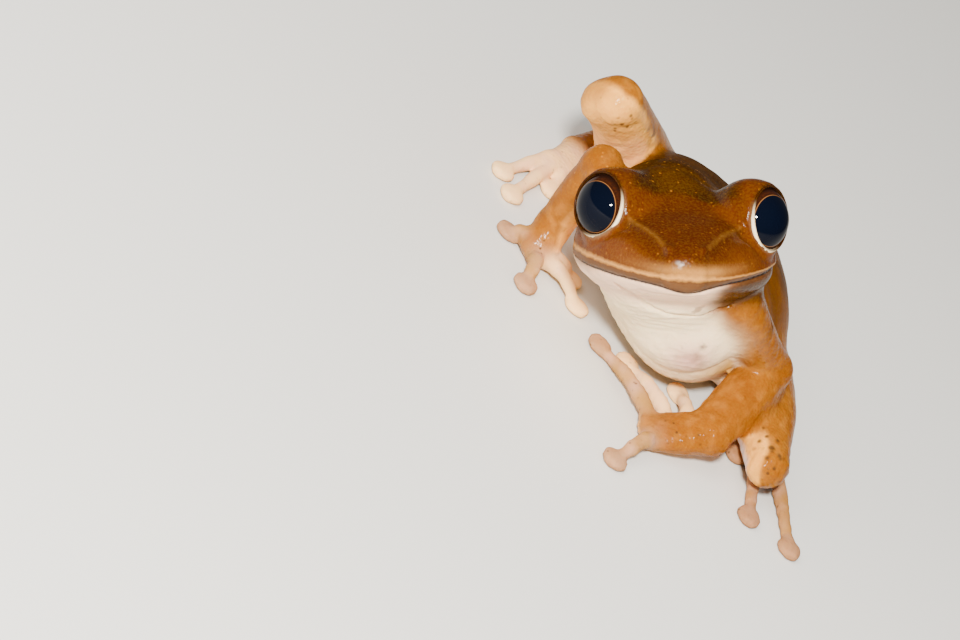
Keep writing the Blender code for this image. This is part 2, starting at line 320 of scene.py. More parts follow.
def profile_distance(a: Array, b: Array, c: Array, wide: Array, tall: Array, deep: Array,
                     power: float) -> Array:
    """Return the distance to a superelliptic profile with a rounded end.

    s = (|a/wide|^p + |b/tall|^p)^(1/p), k = sqrt(s^2 + (c/deep)^2), and the distance is
    (k - 1) / |grad k|.

    Args:
        a: Offset along the profile's width.
        b: Offset along its height.
        c: Offset beyond the path's end, 0 elsewhere.
        wide: Half width.
        tall: Half height.
        deep: Depth of the end.
        power: The profile's power.

    Returns:
        The signed distances.
    """
    u, v = np.abs(a) / wide + 1e-6, np.abs(b) / tall + 1e-6
    s = (u ** power + v ** power) ** (1.0 / power)
    k = np.sqrt(s * s + (c / deep) ** 2)
    slope = (((u / s) ** (power - 1) / wide) ** 2 + ((v / s) ** (power - 1) / tall) ** 2)
    return (k - 1.0) * k / np.sqrt(slope * s * s + (c / deep ** 2) ** 2)


@dataclass(frozen=True)
class HeadFrame:
    """The head's own axes, with the origin midway between the eyeballs.

    Attributes:
        middle: The origin in the drawing's axes.
        yaw: Turn to the frog's left, degrees.
        pitch: Snout up, degrees.
        roll: Left side up, degrees.
    """

    middle: Row = (-3.7, -7.9, 22.8)
    yaw: float = 10.6
    pitch: float = 22.0
    roll: float = 32.4

    @property
    def axes(self) -> Array:
        """The forward, left and up directions as rows.

        Returns:
            Three rows of unit length, at right angles to one another.
        """
        yaw, pitch, roll = np.radians([self.yaw, self.pitch, self.roll])
        forward = np.array([math.sin(yaw) * math.cos(pitch), -math.cos(yaw) * math.cos(pitch),
                            math.sin(pitch)])
        level = np.array([math.cos(yaw), math.sin(yaw), 0.0])
        upright = np.cross(forward, level)
        left = level * math.cos(roll) + upright * math.sin(roll)
        return np.array([forward, left, upright * math.cos(roll) - level * math.sin(roll)])

    def inward(self, points: Array) -> Array:
        """Return points in the head's axes: forward, left and up."""
        return (points - np.array(self.middle)) @ self.axes.T

    def outward(self, local: Array) -> Array:
        """Return points of the head's axes in the drawing's axes."""
        return np.asarray(local, float) @ self.axes + np.array(self.middle)


# ---- the head ----
@dataclass(frozen=True)
class Skull:
    """The bare head: sections along its forward axis, with a crown and a chin of their own.

    Attributes:
        sections: Rows of forward, half width, crown, chin and middle height.
        power: The profile's power.
        front: How far the snout's end bulges.
        back: How far the nape's end bulges.
    """

    sections: Sequence[Row] = (
        (-9.5, 8.6, -0.6, -9.0, -4.6), (-6.5, 10.2, 0.6, -9.8, -5.0),
        (-3.0, 10.7, 1.3, -9.8, -5.2), (1.0, 9.9, 1.3, -9.1, -5.2),
        (4.5, 8.4, 0.5, -8.4, -5.1), (8.0, 6.3, -0.5, -7.6, -4.9),
        (10.6, 4.2, -1.4, -6.9, -4.6), (12.0, 2.4, -2.2, -6.2, -4.3))
    power: float = 2.3
    front: float = 0.7
    back: float = 2.2

    def distance(self, local: Array) -> Array:
        """Return the distance of points given in the head's axes.

        Args:
            local: Points of the head's axes, middle line straightened.

        Returns:
            Signed distances.
        """
        rows = through(self.sections, 6)
        forward, across, up = local.T
        wide, crown, chin, middle = (np.interp(forward, rows[:, 0], rows[:, i])
                                     for i in range(1, 5))
        tall = np.where(up > middle, crown - middle, middle - chin)
        first, last = rows[0, 0], rows[-1, 0]
        beyond = np.maximum(forward - last, 0.0) - np.maximum(first - forward, 0.0)
        deep = np.where(beyond > 0, self.front, self.back)
        return profile_distance(across, up - middle, beyond, wide, tall, deep, self.power)


# ---- trunk and limbs ----
def between(a: Row, b: Row, share: float) -> Array:
    """Return the point that lies a share of the way from a to b."""
    return np.array(a, float) * (1.0 - share) + np.array(b, float) * share


def segment(start: Row, end: Row, sizes: Sequence[Row], bow: Row = (0.0, 0.0, 0.0),
            power: float = 2.0, cap: float = 0.9) -> Sweep:
    """Return a limb segment as a sweep.

    Args:
        start: Where it starts.
        end: Where it ends.
        sizes: Rows of share of the way, half width and half height.
        bow: How far the path bulges at its middle, as a half sine.
        power: The profile's power.
        cap: How far an end bulges.

    Returns:
        The sweep.
    """
    rows = [(*(between(start, end, share) + np.array(bow) * math.sin(math.pi * share)),
             wide, tall, 0.0) for share, wide, tall in sizes]
    return Sweep(rows, power, cap)


@dataclass(frozen=True)
class Torso:
    """The trunk from vent to neck, with the throat's pouch under the jaw.

    Attributes:
        stations: Rows of x, y, z, half width, half height and lean.
        nape: The same for the flesh that fills the hollow behind the head.
        throat: The same for the pouch, from the chest to the chin.
    """

    stations: Sequence[Row] = (
        (0.8, 34.5, 4.6, 4.4, 3.6, -5.0), (0.7, 30.5, 5.5, 7.0, 4.8, -8.0),
        (0.8, 26.0, 6.6, 9.8, 5.8, -11.0), (1.5, 20.0, 7.8, 12.4, 6.8, -16.0),
        (2.1, 14.0, 8.8, 12.8, 7.5, -19.0), (2.3, 8.0, 9.8, 11.7, 7.9, -21.0),
        (2.8, 2.8, 10.9, 9.9, 8.2, -22.0), (3.0, -0.8, 12.6, 7.9, 7.5, -20.0))
    nape: Sequence[Row] = (
        (-1.8, 8.0, 11.0, 8.8, 6.9, -22.0), (-2.6, 2.0, 14.2, 8.8, 7.2, -29.0),
        (-2.8, -2.6, 16.9, 8.6, 6.6, -32.0), (-3.0, -5.6, 17.9, 8.0, 6.0, -32.0))
    throat: Sequence[Row] = (
        (0.6, -1.0, 11.6, 6.6, 4.0, 20.0), (0.3, -5.2, 12.9, 6.0, 3.6, 30.0),
        (0.2, -9.4, 15.4, 4.6, 2.6, 32.0))

    def forms(self) -> dict[str, Sweep]:
        """Return the trunk and the throat as forms."""
        return {"trunk": Sweep(self.stations, 2.4, steps=10, thick=True),
                "throat": Sweep(self.throat, 2.2), "nape": Sweep(self.nape, 2.2)}


@dataclass(frozen=True)
class Digit:
    """A finger or toe: it arches from its root to a flat round disc.

    Attributes:
        azimuth: Its heading from straight ahead, positive towards +X, degrees.
        reach: From the palm's or ball's middle to the disc's far edge.
        arch: How high it arches over the floor.
        disc: The disc's half width.
        disc_height: The disc's half height.
        radius: The shaft's usual radius.
        root: Where it springs from, if not from the middle of the palm or ball.
        start: How far its shaft starts from there.
    """

    azimuth: float
    reach: float
    arch: float
    disc: float = 1.5
    disc_height: float = 0.64
    radius: float = 0.80
    root: Row | None = None
    start: float = 1.6

    @property
    def heading(self) -> Array:
        """The digit's direction over the floor."""
        turn = math.radians(self.azimuth)
        return np.array([math.sin(turn), -math.cos(turn), 0.0])

    def spine(self, root: Row, share: float) -> Array:
        """Return the point of the digit's middle line at a share from base to disc.

        Args:
            root: The palm's or ball's middle, or the digit's own root.
            share: From 0 at the base to 1 at the disc.

        Returns:
            The point.
        """
        under = np.array([root[0], root[1], 0.0])
        tip = under + self.heading * (self.reach - self.disc)
        point = between(under + self.heading * self.start, tip, share)
        lift = self.arch * math.sin(math.pi * min(share * 1.15, 1.0)) ** 0.8
        point[2] = 1.4 * (1.0 - share) + self.disc_height * share + lift
        return point

    def forms(self, root: Row) -> list[Sweep]:
        """Return the digit's shaft with its knuckles, then its disc.

        Args:
            root: The palm's or ball's middle.

        Returns:
            The shaft and the disc.
        """
        root = self.root or root
        # share of the way, half width and half height of a shaft of radius 0.9; the knuckles swell
        sizes = ((0.0, 1.12, 1.0), (0.16, 1.0, 0.95), (0.3, 1.08, 0.98), (0.46, 0.88, 0.82),
                 (0.62, 0.96, 0.86), (0.78, 0.76, 0.7), (0.92, 0.8, 0.62), (1.0, 0.9, 0.5))
        scale = self.radius / 0.9
        shaft = Sweep([(*self.spine(root, s), w * scale, h * scale, 0.0) for s, w, h in sizes])
        pad = self.spine(root, 1.0)
        ahead = self.heading
        disc = Sweep([(*(pad + ahead * self.disc * along), self.disc * math.sqrt(1 - along ** 2),
                       self.disc_height * tall, 0.0)
                      for along, tall in ((-0.86, 0.8), (-0.5, 0.98), (0.0, 1.05), (0.5, 0.95),
                                          (0.8, 0.8))], power=2.0, cap=0.55)
        return [shaft, disc]


@dataclass(frozen=True)
class Arm:
    """A forelimb: upper arm, forearm, hand and four fingers.

    Attributes:
        shoulder: The joint's middle.
        elbow: The same there.
        wrist: The same there.
        palm: The hand's middle, from which the digits' reach is counted.
        fingers: The digits, the inner one first.
        girth: How stout the forearm and hand are.
    """

    shoulder: Row
    elbow: Row
    wrist: Row
    palm: Row
    fingers: Sequence[Digit]
    girth: float = 1.0

    def forms(self) -> dict[str, Sweep]:
        """Return the upper arm, forearm, hand and digits as forms.

        Returns:
            The forms by name, digits numbered from the inner one.
        """
        upper = segment(self.shoulder, self.elbow, ((0.0, 2.5, 2.7), (0.3, 2.65, 2.7),
                                                    (0.7, 2.35, 2.35), (1.0, 2.35, 2.35)))
        girth = self.girth
        fore = segment(self.elbow, self.wrist, [
            (at, wide * girth, tall * girth) for at, wide, tall in (
                (0.0, 2.3, 2.3), (0.3, 2.9, 2.9), (0.65, 2.8, 2.65), (1.0, 2.5, 2.1))])
        tip = between(self.wrist, self.palm, 1.25)
        tip[2] = 1.45
        hand = segment(between(self.wrist, self.palm, -0.05), tip,
                       ((0.0, 2.45 * girth, 2.05), (0.5, 2.7 * girth, 1.75),
                        (1.0, 2.45 * girth, 1.25)))
        found = {"upper_arm": upper, "forearm": fore, "hand": hand}
        for number, finger in enumerate(self.fingers, 1):
            found[f"finger_{number}"], found[f"finger_disc_{number}"] = finger.forms(self.palm)
        return found


@dataclass(frozen=True)
class Leg:
    """A hindlimb folded at the knee: thigh, shank, tarsus, foot and five webbed toes.

    Attributes:
        hip: The joint's middle.
        knee: The same there.
        heel: The same there.
        ball: The foot's middle, from which the digits' reach is counted.
        shank_set: Where the shank's knee end lies from the thigh's.
        toes: The digits, the inner one first.
        knee_radius: Half the thigh's width at the knee.
        web: How far a web reaches along the shorter of its toes, as a share.
        web_sag: How far its edge sags back between them, as a share.
        web_half: Half its thickness.
    """

    hip: Row
    knee: Row
    heel: Row
    ball: Row
    shank_set: Row
    toes: Sequence[Digit]
    knee_radius: float = 2.9
    web: float = 0.56
    web_sag: float = 0.28
    web_half: float = 0.3

    def forms(self) -> dict[str, Sweep]:
        """Return the thigh, shank, tarsus, foot and digits as forms.

        Returns:
            The forms by name, digits numbered from the inner one.
        """
        bend = self.knee_radius
        thigh = segment(self.hip, self.knee, ((0.0, 4.2, 4.6), (0.3, 4.25, 4.3), (0.6, 3.7, 3.7),
                                              (0.85, bend + 0.3, bend + 0.3),
                                              (1.0, bend, bend)))
        top = np.array(self.knee) + np.array(self.shank_set)
        end = np.array(self.heel) + np.array([0.0, 0.0, 1.8])
        shank = segment(top, end, ((0.0, bend - 0.5, bend - 0.4), (0.28, 2.85, 2.85),
                                   (0.6, 2.4, 2.4), (0.85, 1.85, 1.85), (1.0, 1.8, 1.8)),
                        bow=(0.0, 0.0, 0.8))
        tarsus = segment(self.heel, self.ball, ((0.0, 1.9, 1.8), (0.5, 1.6, 1.5), (0.95, 1.7, 1.4)))
        heading = sum(t.azimuth for t in self.toes) / len(self.toes)
        reach = 0.24 * max(t.reach for t in self.toes)
        turn = math.radians(heading)
        ahead = np.array(self.ball) + reach * np.array([math.sin(turn), -math.cos(turn), 0.0])
        ahead[2] = 0.9
        foot = segment(self.ball, ahead, ((0.0, 1.7, 1.4), (0.5, 2.1, 1.2), (1.0, 2.6, 0.85)))
        found = {"thigh": thigh, "shank": shank, "tarsus": tarsus, "foot": foot}
        for number, toe in enumerate(self.toes, 1):
            found[f"toe_{number}"], found[f"toe_disc_{number}"] = toe.forms(self.ball)
        return found

    def webs(self, points: Array) -> Array:
        """Return the distance to the webs between neighbouring toes.

        A web is a flat sheet over the floor: for each pair of toes it fills the wedge from the
        ball to a line across both, which sags back between them.

        Args:
            points: In the drawing's axes.

        Returns:
            Signed distances.
        """
        nearest = np.full(len(points), FAR)
        root = np.array(self.ball)
        flat = points[:, :2] - root[:2]
        out = np.hypot(flat[:, 0], flat[:, 1])
        turn = np.degrees(np.arctan2(flat[:, 0], -flat[:, 1]))
        for one, two in zip(self.toes, self.toes[1:]):
            low, high = sorted((one.azimuth, two.azimuth))
            share = np.clip((turn - low) / (high - low), 0.0, 1.0)
            reach = self.web * min(one.reach, two.reach) + 0.6
            edge = reach * (1.0 - self.web_sag * np.sin(np.pi * share))
            beside = np.radians(np.maximum(low - turn, turn - high)) * out
            rise = 0.55 + 0.25 * np.clip(1.0 - out / reach, 0.0, 1.0)
            level = np.abs(points[:, 2] - rise) - self.web_half
            nearest = np.minimum(nearest, np.maximum(level, np.maximum(out - edge, beside)))
        return nearest


# the joints in the drawing's axes, and each digit's heading, reach and arch
ARMS = {
    Side.LEFT: Arm((7.4, -3.6, 16.8), (15.2, 4.4, 10.0), (14.4, -5.7, 4.2), (10.5, -8.4, 1.9),
                   (Digit(-156.7, 10.3, 0.8, root=(13.2, -4.6)),
                    Digit(-127.6, 12.6, 0.8, root=(12.0, -6.0)),
                    Digit(-126.5, 15.0, 0.8), Digit(-13.5, 10.4, 0.8))),
    Side.RIGHT: Arm((-5.0, -3.0, 13.0), (-13.4, 5.0, 14.4), (-12.9, 6.6, 4.1),
                    (-12.5, 4.6, 1.9), (Digit(112.0, 6.8, 0.8), Digit(76.0, 9.2, 0.8),
                                        Digit(15.0, 7.6, 0.8), Digit(-100.0, 5.2, 0.8)),
                    girth=0.78),
}
LEGS = {
    Side.LEFT: Leg((6.2, 25.0, 6.2), (21.7, -3.8, 5.0), (10.6, 28.5, 1.8), (18.0, 13.6, 1.7),
                   (0.0, 0.6, 0.3),
                   (Digit(-8.0, 11.0, 0.2), Digit(4.0, 13.0, 0.2), Digit(15.8, 22.6, 0.2),
                    Digit(30.0, 24.2, 0.2), Digit(38.0, 10.4, 0.2)), knee_radius=2.3),
    Side.RIGHT: Leg((-9.4, 28.0, 5.6), (-16.8, 11.2, 18.4), (-14.6, 39.0, 1.8),
                    (-17.0, 29.2, 1.7), (-1.2, 0.4, -1.4),
                    (Digit(34.0, 6.4, 0.2), Digit(20.0, 8.4, 0.2), Digit(7.0, 11.0, 0.2),
                     Digit(-6.0, 18.4, 0.2), Digit(-17.0, 16.2, 0.2))),
}


# ---- relief: ridges, folds and grooves ----
@dataclass(frozen=True)
class Crease:
    """A ridge or, with a height below zero, a groove along a smooth line.

    It lifts the surface by height * exp(-(distance to the line / width)^2).

    Attributes:
        line: Points that its middle line goes through.
        height: How high it stands, or below zero how deep it cuts.
        width: How far it spreads to each side.
    """

    line: Sequence[Row]
    height: float
    width: float

    def lift(self, points: Array) -> Array:
        """Return how far the surface rises at the points.

        Args:
            points: Where it is read, in the axes that the line is given in.

        Returns:
            One height for each point, in millimetres.
        """
        rows = through(self.line, 5)
        low, high = rows.min(0) - 3.0 * self.width, rows.max(0) + 3.0 * self.width
        near = np.flatnonzero(np.all((points > low) & (points < high), axis=1))
        run = np.diff(rows, axis=0)
        offset = points[near][:, None, :] - rows[None, :-1]
        share = np.clip((offset * run).sum(2) / (run * run).sum(1), 0.0, 1.0)
        away = np.linalg.norm(offset - share[..., None] * run, axis=2).min(1)
        lift = np.zeros(len(points))
        lift[near] = self.height * bell(away, self.width)
        return lift


def mirrored(line: Sequence[Row], side: Side) -> list[Row]:
    """Return a line of the head's axes on one side of the head."""
    return [(forward, across * side.value, up) for forward, across, up in line]


@dataclass(frozen=True)
class Face:
    """The head's flesh: skull, brows, lids, lips, nostrils and folds, in the head's axes.

    Attributes:
        skull: The bare head.
        skew: How far the snout's middle line drifts left for each millimetre forward.
        eye_radius: The eyeball, which the lids hug.
        eye_offset: How far each eyeball's middle lies from the head's middle line.
        lid: The lid's thickness over the eyeball.
        opening: Radius of the opening between the lids.
        look: The opening's direction: forward, sideways, up.
        tear: Where the lids' pale edge is widest, seen from the eye's middle.
        nostril: The left nostril's middle; the next lines are the left side's too.
        canthus: The ridge from the eye to the nostril.
        temple: The fold from the eye over the eardrum to the shoulder.
        tympanum: The eardrum's middle.
        drum: The eardrum's radius.
        socket_clearance: How far from an eye the flesh is looked at when its socket is cut.
    """

    skull: Skull = Skull()
    skew: float = -0.056
    eye_radius: float = 3.9
    eye_offset: float = 7.2
    lid: float = 0.34
    opening: float = 3.38
    look: Row = (0.62, 0.76, 0.18)
    tear: Row = (0.55, -0.55, -0.62)
    nostril: Row = (11.3, 1.8, -2.0)
    canthus: Sequence[Row] = ((4.4, 5.75, -0.3), (6.6, 4.4, -0.68), (8.8, 3.2, -1.12),
                              (10.7, 2.3, -1.7))
    temple: Sequence[Row] = ((-3.4, 9.4, -0.6), (-5.6, 10.4, -1.5), (-7.4, 10.6, -3.2),
                             (-8.6, 10.2, -5.6))
    tympanum: Row = (-5.6, 10.4, -3.7)
    drum: float = 1.45
    socket_clearance: float = 8.0

    def straighten(self, local: Array) -> Array:
        """Return points with the head's middle line brought back to zero.

        The line drifts by skew * (f + sqrt(f^2 + 9)) / 2, so only the snout leans.

        Args:
            local: Points of the head's axes, n by 3.

        Returns:
            The points, moved sideways.
        """
        moved = local.copy()
        moved[:, 1] -= self.skew * 0.5 * (local[:, 0] + np.hypot(local[:, 0], 3.0))
        return moved

    def eye_centre(self, side: Side) -> Array:
        """Return the eyeball's centre in the head's axes."""
        return np.array([0.0, side.value * self.eye_offset, 0.0])

    def eye_look(self, side: Side) -> Array:
        """Return the direction the opening faces, in the head's axes."""
        forward, across, up = self.look
        return unit(np.array([forward, side.value * across, up]))

    def eye_tear(self, side: Side) -> Array:
        """Return the direction across the opening to where its pale edge is widest."""
        tear, look = unit(np.array(self.tear) * [1.0, side.value, 1.0]), self.eye_look(side)
        return unit(tear - look * (tear @ look))

    def mouth(self, across: Array) -> Array:
        """Return the mouth line's height: near level at the sides, a dip under the snout."""
        return -5.55 + 0.045 * across - 0.85 * bell(across - 0.6, 2.2)

    def stripe(self, across: Array) -> Array:
        """Return the height of the pale line along the upper lip."""
        return -4.72 + 0.01 * across + 0.06 * bell(across, 3.0)

    def distance(self, local: Array) -> Array:
        """Return the distance to the head's flesh, eyes still closed over.

        Args:
            local: Points of the head's axes, n by 3.

        Returns:
            Signed distances.
        """
        straight = self.straighten(local)
        shape = self.skull.distance(straight)
        for side in Side:
            away = length(local - self.eye_centre(side))
            shape = join(shape, away - (self.eye_radius + self.lid), 1.0)
        near = np.abs(shape) < 2.0
        fade = step(np.abs(shape[near]), 1.9, 0.8)
        shape[near] -= self.relief(local[near], straight[near]) * fade
        return shape

    def relief(self, local: Array, straight: Array) -> Array:
        """Return how far folds, ridges and lips lift the head's surface.

        Args:
            local: Points of the head's axes, n by 3.
            straight: The same points, middle line straightened.

        Returns:
            One height for each point, in millimetres.
        """
        lift = np.zeros(len(local))
        for side in Side:
            canthus = np.array(mirrored(self.canthus, side))
            cheek = canthus + np.array([-0.6, side.value * 0.5, -1.35])
            nostril = np.array(mirrored([self.nostril], side)[0])
            hole = nostril + np.array([0.15, side.value * 0.62, -0.30])
            drum = np.array(mirrored([self.tympanum], side)[0])
            turn = np.linspace(0.0, 2.0 * np.pi, 17)[:, None]
            ring = drum + self.drum * (np.cos(turn) * np.array([1.0, 0.0, 0.15])
                                       + np.sin(turn) * np.array([0.0, 0.2 * side.value, 1.0]))
            for crease in (
                    Crease(canthus, 0.2, 0.5),  # the ridge to the snout
                    Crease(cheek, -0.26, 0.9),  # the hollow under it
                    Crease([nostril, nostril + 0.02], 0.75, 0.5),  # the nostril's mound
                    Crease([hole, hole + 0.02], -0.95, 0.36),  # its hole
                    Crease(mirrored(self.temple, side), 0.42, 0.55),  # the fold to the shoulder
                    Crease(ring, 0.16, 0.2),  # the eardrum's rim
                    Crease([drum, drum + 0.02], -0.15, 1.0)):  # its shallow dish
                lift += crease.lift(straight)
            # the groove round the eye's bulge, below it only
            round_eye = local - self.eye_centre(side)
            away = length(round_eye)
            under = step(round_eye[:, 2], 0.2, -2.2)
            lift -= 0.16 * under * bell(away - self.eye_radius - 1.15, 0.28)
        forward, across, up = straight.T
        over = up - self.mouth(across)
        ahead = step(forward, -4.6, -2.2)
        lift -= ahead * 0.30 * bell(over, 0.24)         # the mouth's slit
        lift += ahead * 0.12 * bell(over - 0.6, 0.45)   # the upper lip's swell
        # the lower jaw stands back from the upper lip, and the forehead dips between the eyes
        lift -= ahead * 0.26 * step(over, 0.15, -0.2) * np.exp(np.minimum(over, 0.0) / 1.2)
        lift -= 0.28 * bell(across, 2.6) * bell(forward - 2.2, 2.6) * step(up, -2.0, 0.0)
        return lift

    def open_eyes(self, shape: Array, local: Array) -> Array:
        """Return the flesh with both sockets cut and a rounded rim round each opening.

        Args:
            shape: The distance to the flesh before.
            local: Points of the head's axes, n by 3.

        Returns:
            The distance to the opened flesh.
        """
        for side in Side:
            centre, look = self.eye_centre(side), self.eye_look(side)
            offset = local - centre
            near = np.flatnonzero(length(offset) < self.socket_clearance)
            offset = offset[near]
            away = length(offset)
            along = offset @ look
            wide = np.sqrt(np.maximum(away ** 2 - along ** 2, 0.0))
            depth = math.sqrt(self.eye_radius ** 2 - self.opening ** 2)
            # the floor of the socket lies just under the ball's surface, out of sight
            hole = np.maximum(np.maximum(wide - self.opening, 1.0 - along),
                              self.eye_radius - 0.5 - away)
            rim = np.hypot(wide - self.opening * 1.05, along - depth * 0.94) - 0.22
            part = carve(shape[near], hole, 0.2)
            shape[near] = join(part, rim, 0.35)
        return shape


# ---- the whole animal's flesh ----
@dataclass
class Flesh:
    """Every form of the animal, and how they flow into one body.

    Attributes:
        face: The head's flesh.
        torso: The trunk.
        head_frame: The head's axes.
        forms: The trunk's and limbs' forms by name.
        throat_fold: The crease where the throat meets the neck.
        chest_fold: The crease between the chest and the left arm.
        back_groove: The shallow groove along the backbone.
        knee_fold: The crease across the right knee.
    """

    face: Face = field(default_factory=Face)
    torso: Torso = field(default_factory=Torso)
    head_frame: HeadFrame = field(default_factory=HeadFrame)
    forms: dict[str, Sweep] = field(init=False)
    throat_fold: Crease = Crease(((-3.8, -16.0, 15.8), (-0.4, -12.4, 14.3), (2.8, -10.7, 14.9),
                                  (4.9, -8.2, 16.2), (6.5, -6.3, 18.0)), -0.5, 0.32)
    chest_fold: Crease = Crease(((1.2, -9.0, 12.4), (3.6, -7.6, 12.4), (6.0, -5.8, 13.8),
                                 (7.4, -5.4, 15.6)), -0.22, 0.4)
    back_groove: Crease = Crease(((1.2, 9.0, 22.0), (1.3, 16.0, 19.6), (1.5, 24.0, 15.6),
                                  (1.6, 31.0, 11.2)), -0.25, 0.9)
    knee_fold: Crease = Crease(((-18.4, 9.0, 15.4), (-16.4, 8.7, 16.0), (-14.6, 9.6, 16.9),
                                (-13.2, 11.4, 17.9)), -0.28, 0.35)

    def __post_init__(self) -> None:
        """Gather the trunk's and limbs' forms under their names."""
        self.forms = dict(self.torso.forms())
        for side in Side:
            limbs = {**ARMS[side].forms(), **LEGS[side].forms()}
            self.forms.update({f"{name}_{side.word}": form for name, form in limbs.items()})

    def measure(self, points: Array) -> dict[str, Array]:
        """Return the distance to every form, by name.

        Args:
            points: In the drawing's axes.

        Returns:
            One array of distances for each form.
        """
        found = {name: form.distance(points) for name, form in self.forms.items()}
        found["head"] = self.face.distance(self.head_frame.inward(points))
        for side in Side:
            found[f"webs_{side.word}"] = LEGS[side].webs(points)
        return found

    def merge(self, found: dict[str, Array]) -> Array:
        """Return the distance to the whole body from the distances to its forms.

        Forms of one limb are joined softly and then laid against the body, so that a limb that
        only touches the body keeps its crease.

        Args:
            found: What measure returned.

        Returns:
            Signed distances.
        """
        body = join(join(found["trunk"], found["nape"], 3.0), found["head"], 3.6)
        body = join(body, found["throat"], 1.6)
        whole = body
        for side in Side:
            def of(name: str) -> Array:
                """Read one form of this side."""
                return found[f"{name}_{side.word}"]

            arm = join(of("upper_arm"), of("forearm"), 0.9)
            arm = join(arm, of("hand"), 1.0)
            for number in range(1, FINGERS + 1):
                finger = join(of(f"finger_{number}"), of(f"finger_disc_{number}"), 0.35)
                arm = join(arm, finger, 0.7)
            whole = join(join(whole, of("upper_arm"), 1.5), arm, 0.12)
            leg = join(of("thigh"), of("shank"), 0.9)
            leg = join(leg, of("tarsus"), 0.9)
            foot = join(of("tarsus"), of("foot"), 0.9)
            for number in range(1, TOES + 1):
                toe = join(of(f"toe_{number}"), of(f"toe_disc_{number}"), 0.35)
                foot = join(foot, toe, 0.6)
            foot = join(foot, of("webs"), 0.35)
            whole = join(join(whole, of("thigh"), 1.8), join(leg, foot, 0.15), 0.15)
        return whole

    def distance(self, points: Array) -> Array:
        """Return the distance to the finished flesh, its folds, lids and floor contact.

        Args:
            points: In the drawing's axes.

        Returns:
            Signed distances.
        """
        shape = self.merge(self.measure(points))
        for fold in (self.throat_fold, self.chest_fold, self.back_groove, self.knee_fold):
            shape = shape - fold.lift(points)
        shape = self.face.open_eyes(shape, self.head_frame.inward(points))
        return carve(shape, points[:, 2], 0.06)


# ---- colours and finishes ----
class Tone(Enum):
    """The animal's colours, as sRGB hex values."""

    SNOUT = "#401802"
    SNOUT_LIGHT = "#5E2C03"
    CROWN = "#2C1403"
    BACK = "#3A1E04"
    FLANK = "#6A3A02"
    FLANK_PALE = "#D0A04C"
    LIP_STRIPE = "#D89A50"
    LIP_BAND = "#5A3C24"
    # painted shade in the mouth's slit
    MOUTH = "#1E0E06"
    THROAT = "#FFD2AC"
    BELLY = "#FFE4B6"
    BELLY_PINK = "#D8A896"
    LIMB = "#8A5008"
    LIMB_SHADE = "#743A04"
    LIMB_PALE = "#EFA84A"
    LIMB_INNER = "#F6AC66"
    FINGER = "#A87C44"
    FINGER_PALE = "#FCCC90"
    DISC = "#AC8262"
    LID_EDGE = "#FFE6BC"
    # painted shade for the nostrils' openings
    NOSTRIL = "#3A1C0C"
    BLACK_SPOT = "#2A2218"
    SHANK_WHITE = "#E2E0EA"
    CLOUD = "#B39E8B"
    GLINT = "#957327"
    SPECK = "#3C2919"
    GOLD = "#B87420"

    @property
    def colour(self) -> Array:
        """The tone in linear light."""
        return linear(self.value)


def linear(code: str) -> Array:
    """Return an sRGB hex value as linear red, green and blue."""
    shares = np.array([int(code[i:i + 2], 16) for i in (1, 3, 5)]) / 255.0
    return np.where(shares <= 0.04045, shares / 12.92, ((shares + 0.055) / 1.055) ** 2.4)


def mix(colours: Array, tone: Tone, weight: Array) -> Array:
    """Return colours moved towards a tone by a weight for each point."""
    weight = np.clip(weight, 0.0, 1.0)[:, None]
    return colours * (1.0 - weight) + tone.colour * weight


def plain(tone: Tone, count: int) -> Array:
    """Return the tone once for each of count points."""
    return np.tile(tone.colour, (count, 1))


@dataclass
class Piece:
    """A finished mesh in the drawing's millimetres.

    Attributes:
        name: The piece's name.
        points: Its points.
        faces: Blocks of faces, each an array of point numbers with a row to a face.
        colours: Linear colours of the points by attribute name.
        values: Numbers of the points by attribute name.
    """

    name: str
    points: Array
    faces: Sequence[Array]
    colours: dict[str, Array] = field(default_factory=dict)
    values: dict[str, Array] = field(default_factory=dict)

    def write(self, material: Material) -> Object:
        """Put the mesh into the scene in metres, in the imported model's frame.

        Args:
            material: Its finish.

        Returns:
            The object, at the origin.
        """
        faces = [row for block in self.faces for row in block.tolist()]
        mesh = bpy.data.meshes.new(self.name)
        mesh.from_pydata(((self.points - CENTRE) * MM).tolist(), [], faces)
        mesh.update()
        for name, rows in self.colours.items():
            attribute = mesh.attributes.new(name, "FLOAT_COLOR", "POINT")
            rows = np.hstack([rows, np.ones((len(rows), 1))]).astype(np.float32)
            attribute.data.foreach_set("color", rows.ravel())
        for name, column in self.values.items():
            attribute = mesh.attributes.new(name, "FLOAT", "POINT")
            attribute.data.foreach_set("value", column.astype(np.float32))
        mesh.shade_smooth()
        mesh.materials.append(material)
        made = bpy.data.objects.new(self.name, mesh)
        bpy.context.scene.collection.objects.link(made)
        LOG.info("%s: %d points, %d faces", self.name, len(self.points), len(faces))
        return made


# ---- the skin ----
@dataclass(frozen=True)
class Patch:
    """A round patch of skin with a colour or pattern of its own, which fades outwards.

    Attributes:
        middle: Its middle in the drawing's axes.
        width: How far it spreads.
    """

    middle: Row
    width: float

    def weight(self, points: Array) -> Array:
        """Return exp(-(distance to the middle / width)^2) at the points."""
        return bell(length(points - self.middle), self.width)


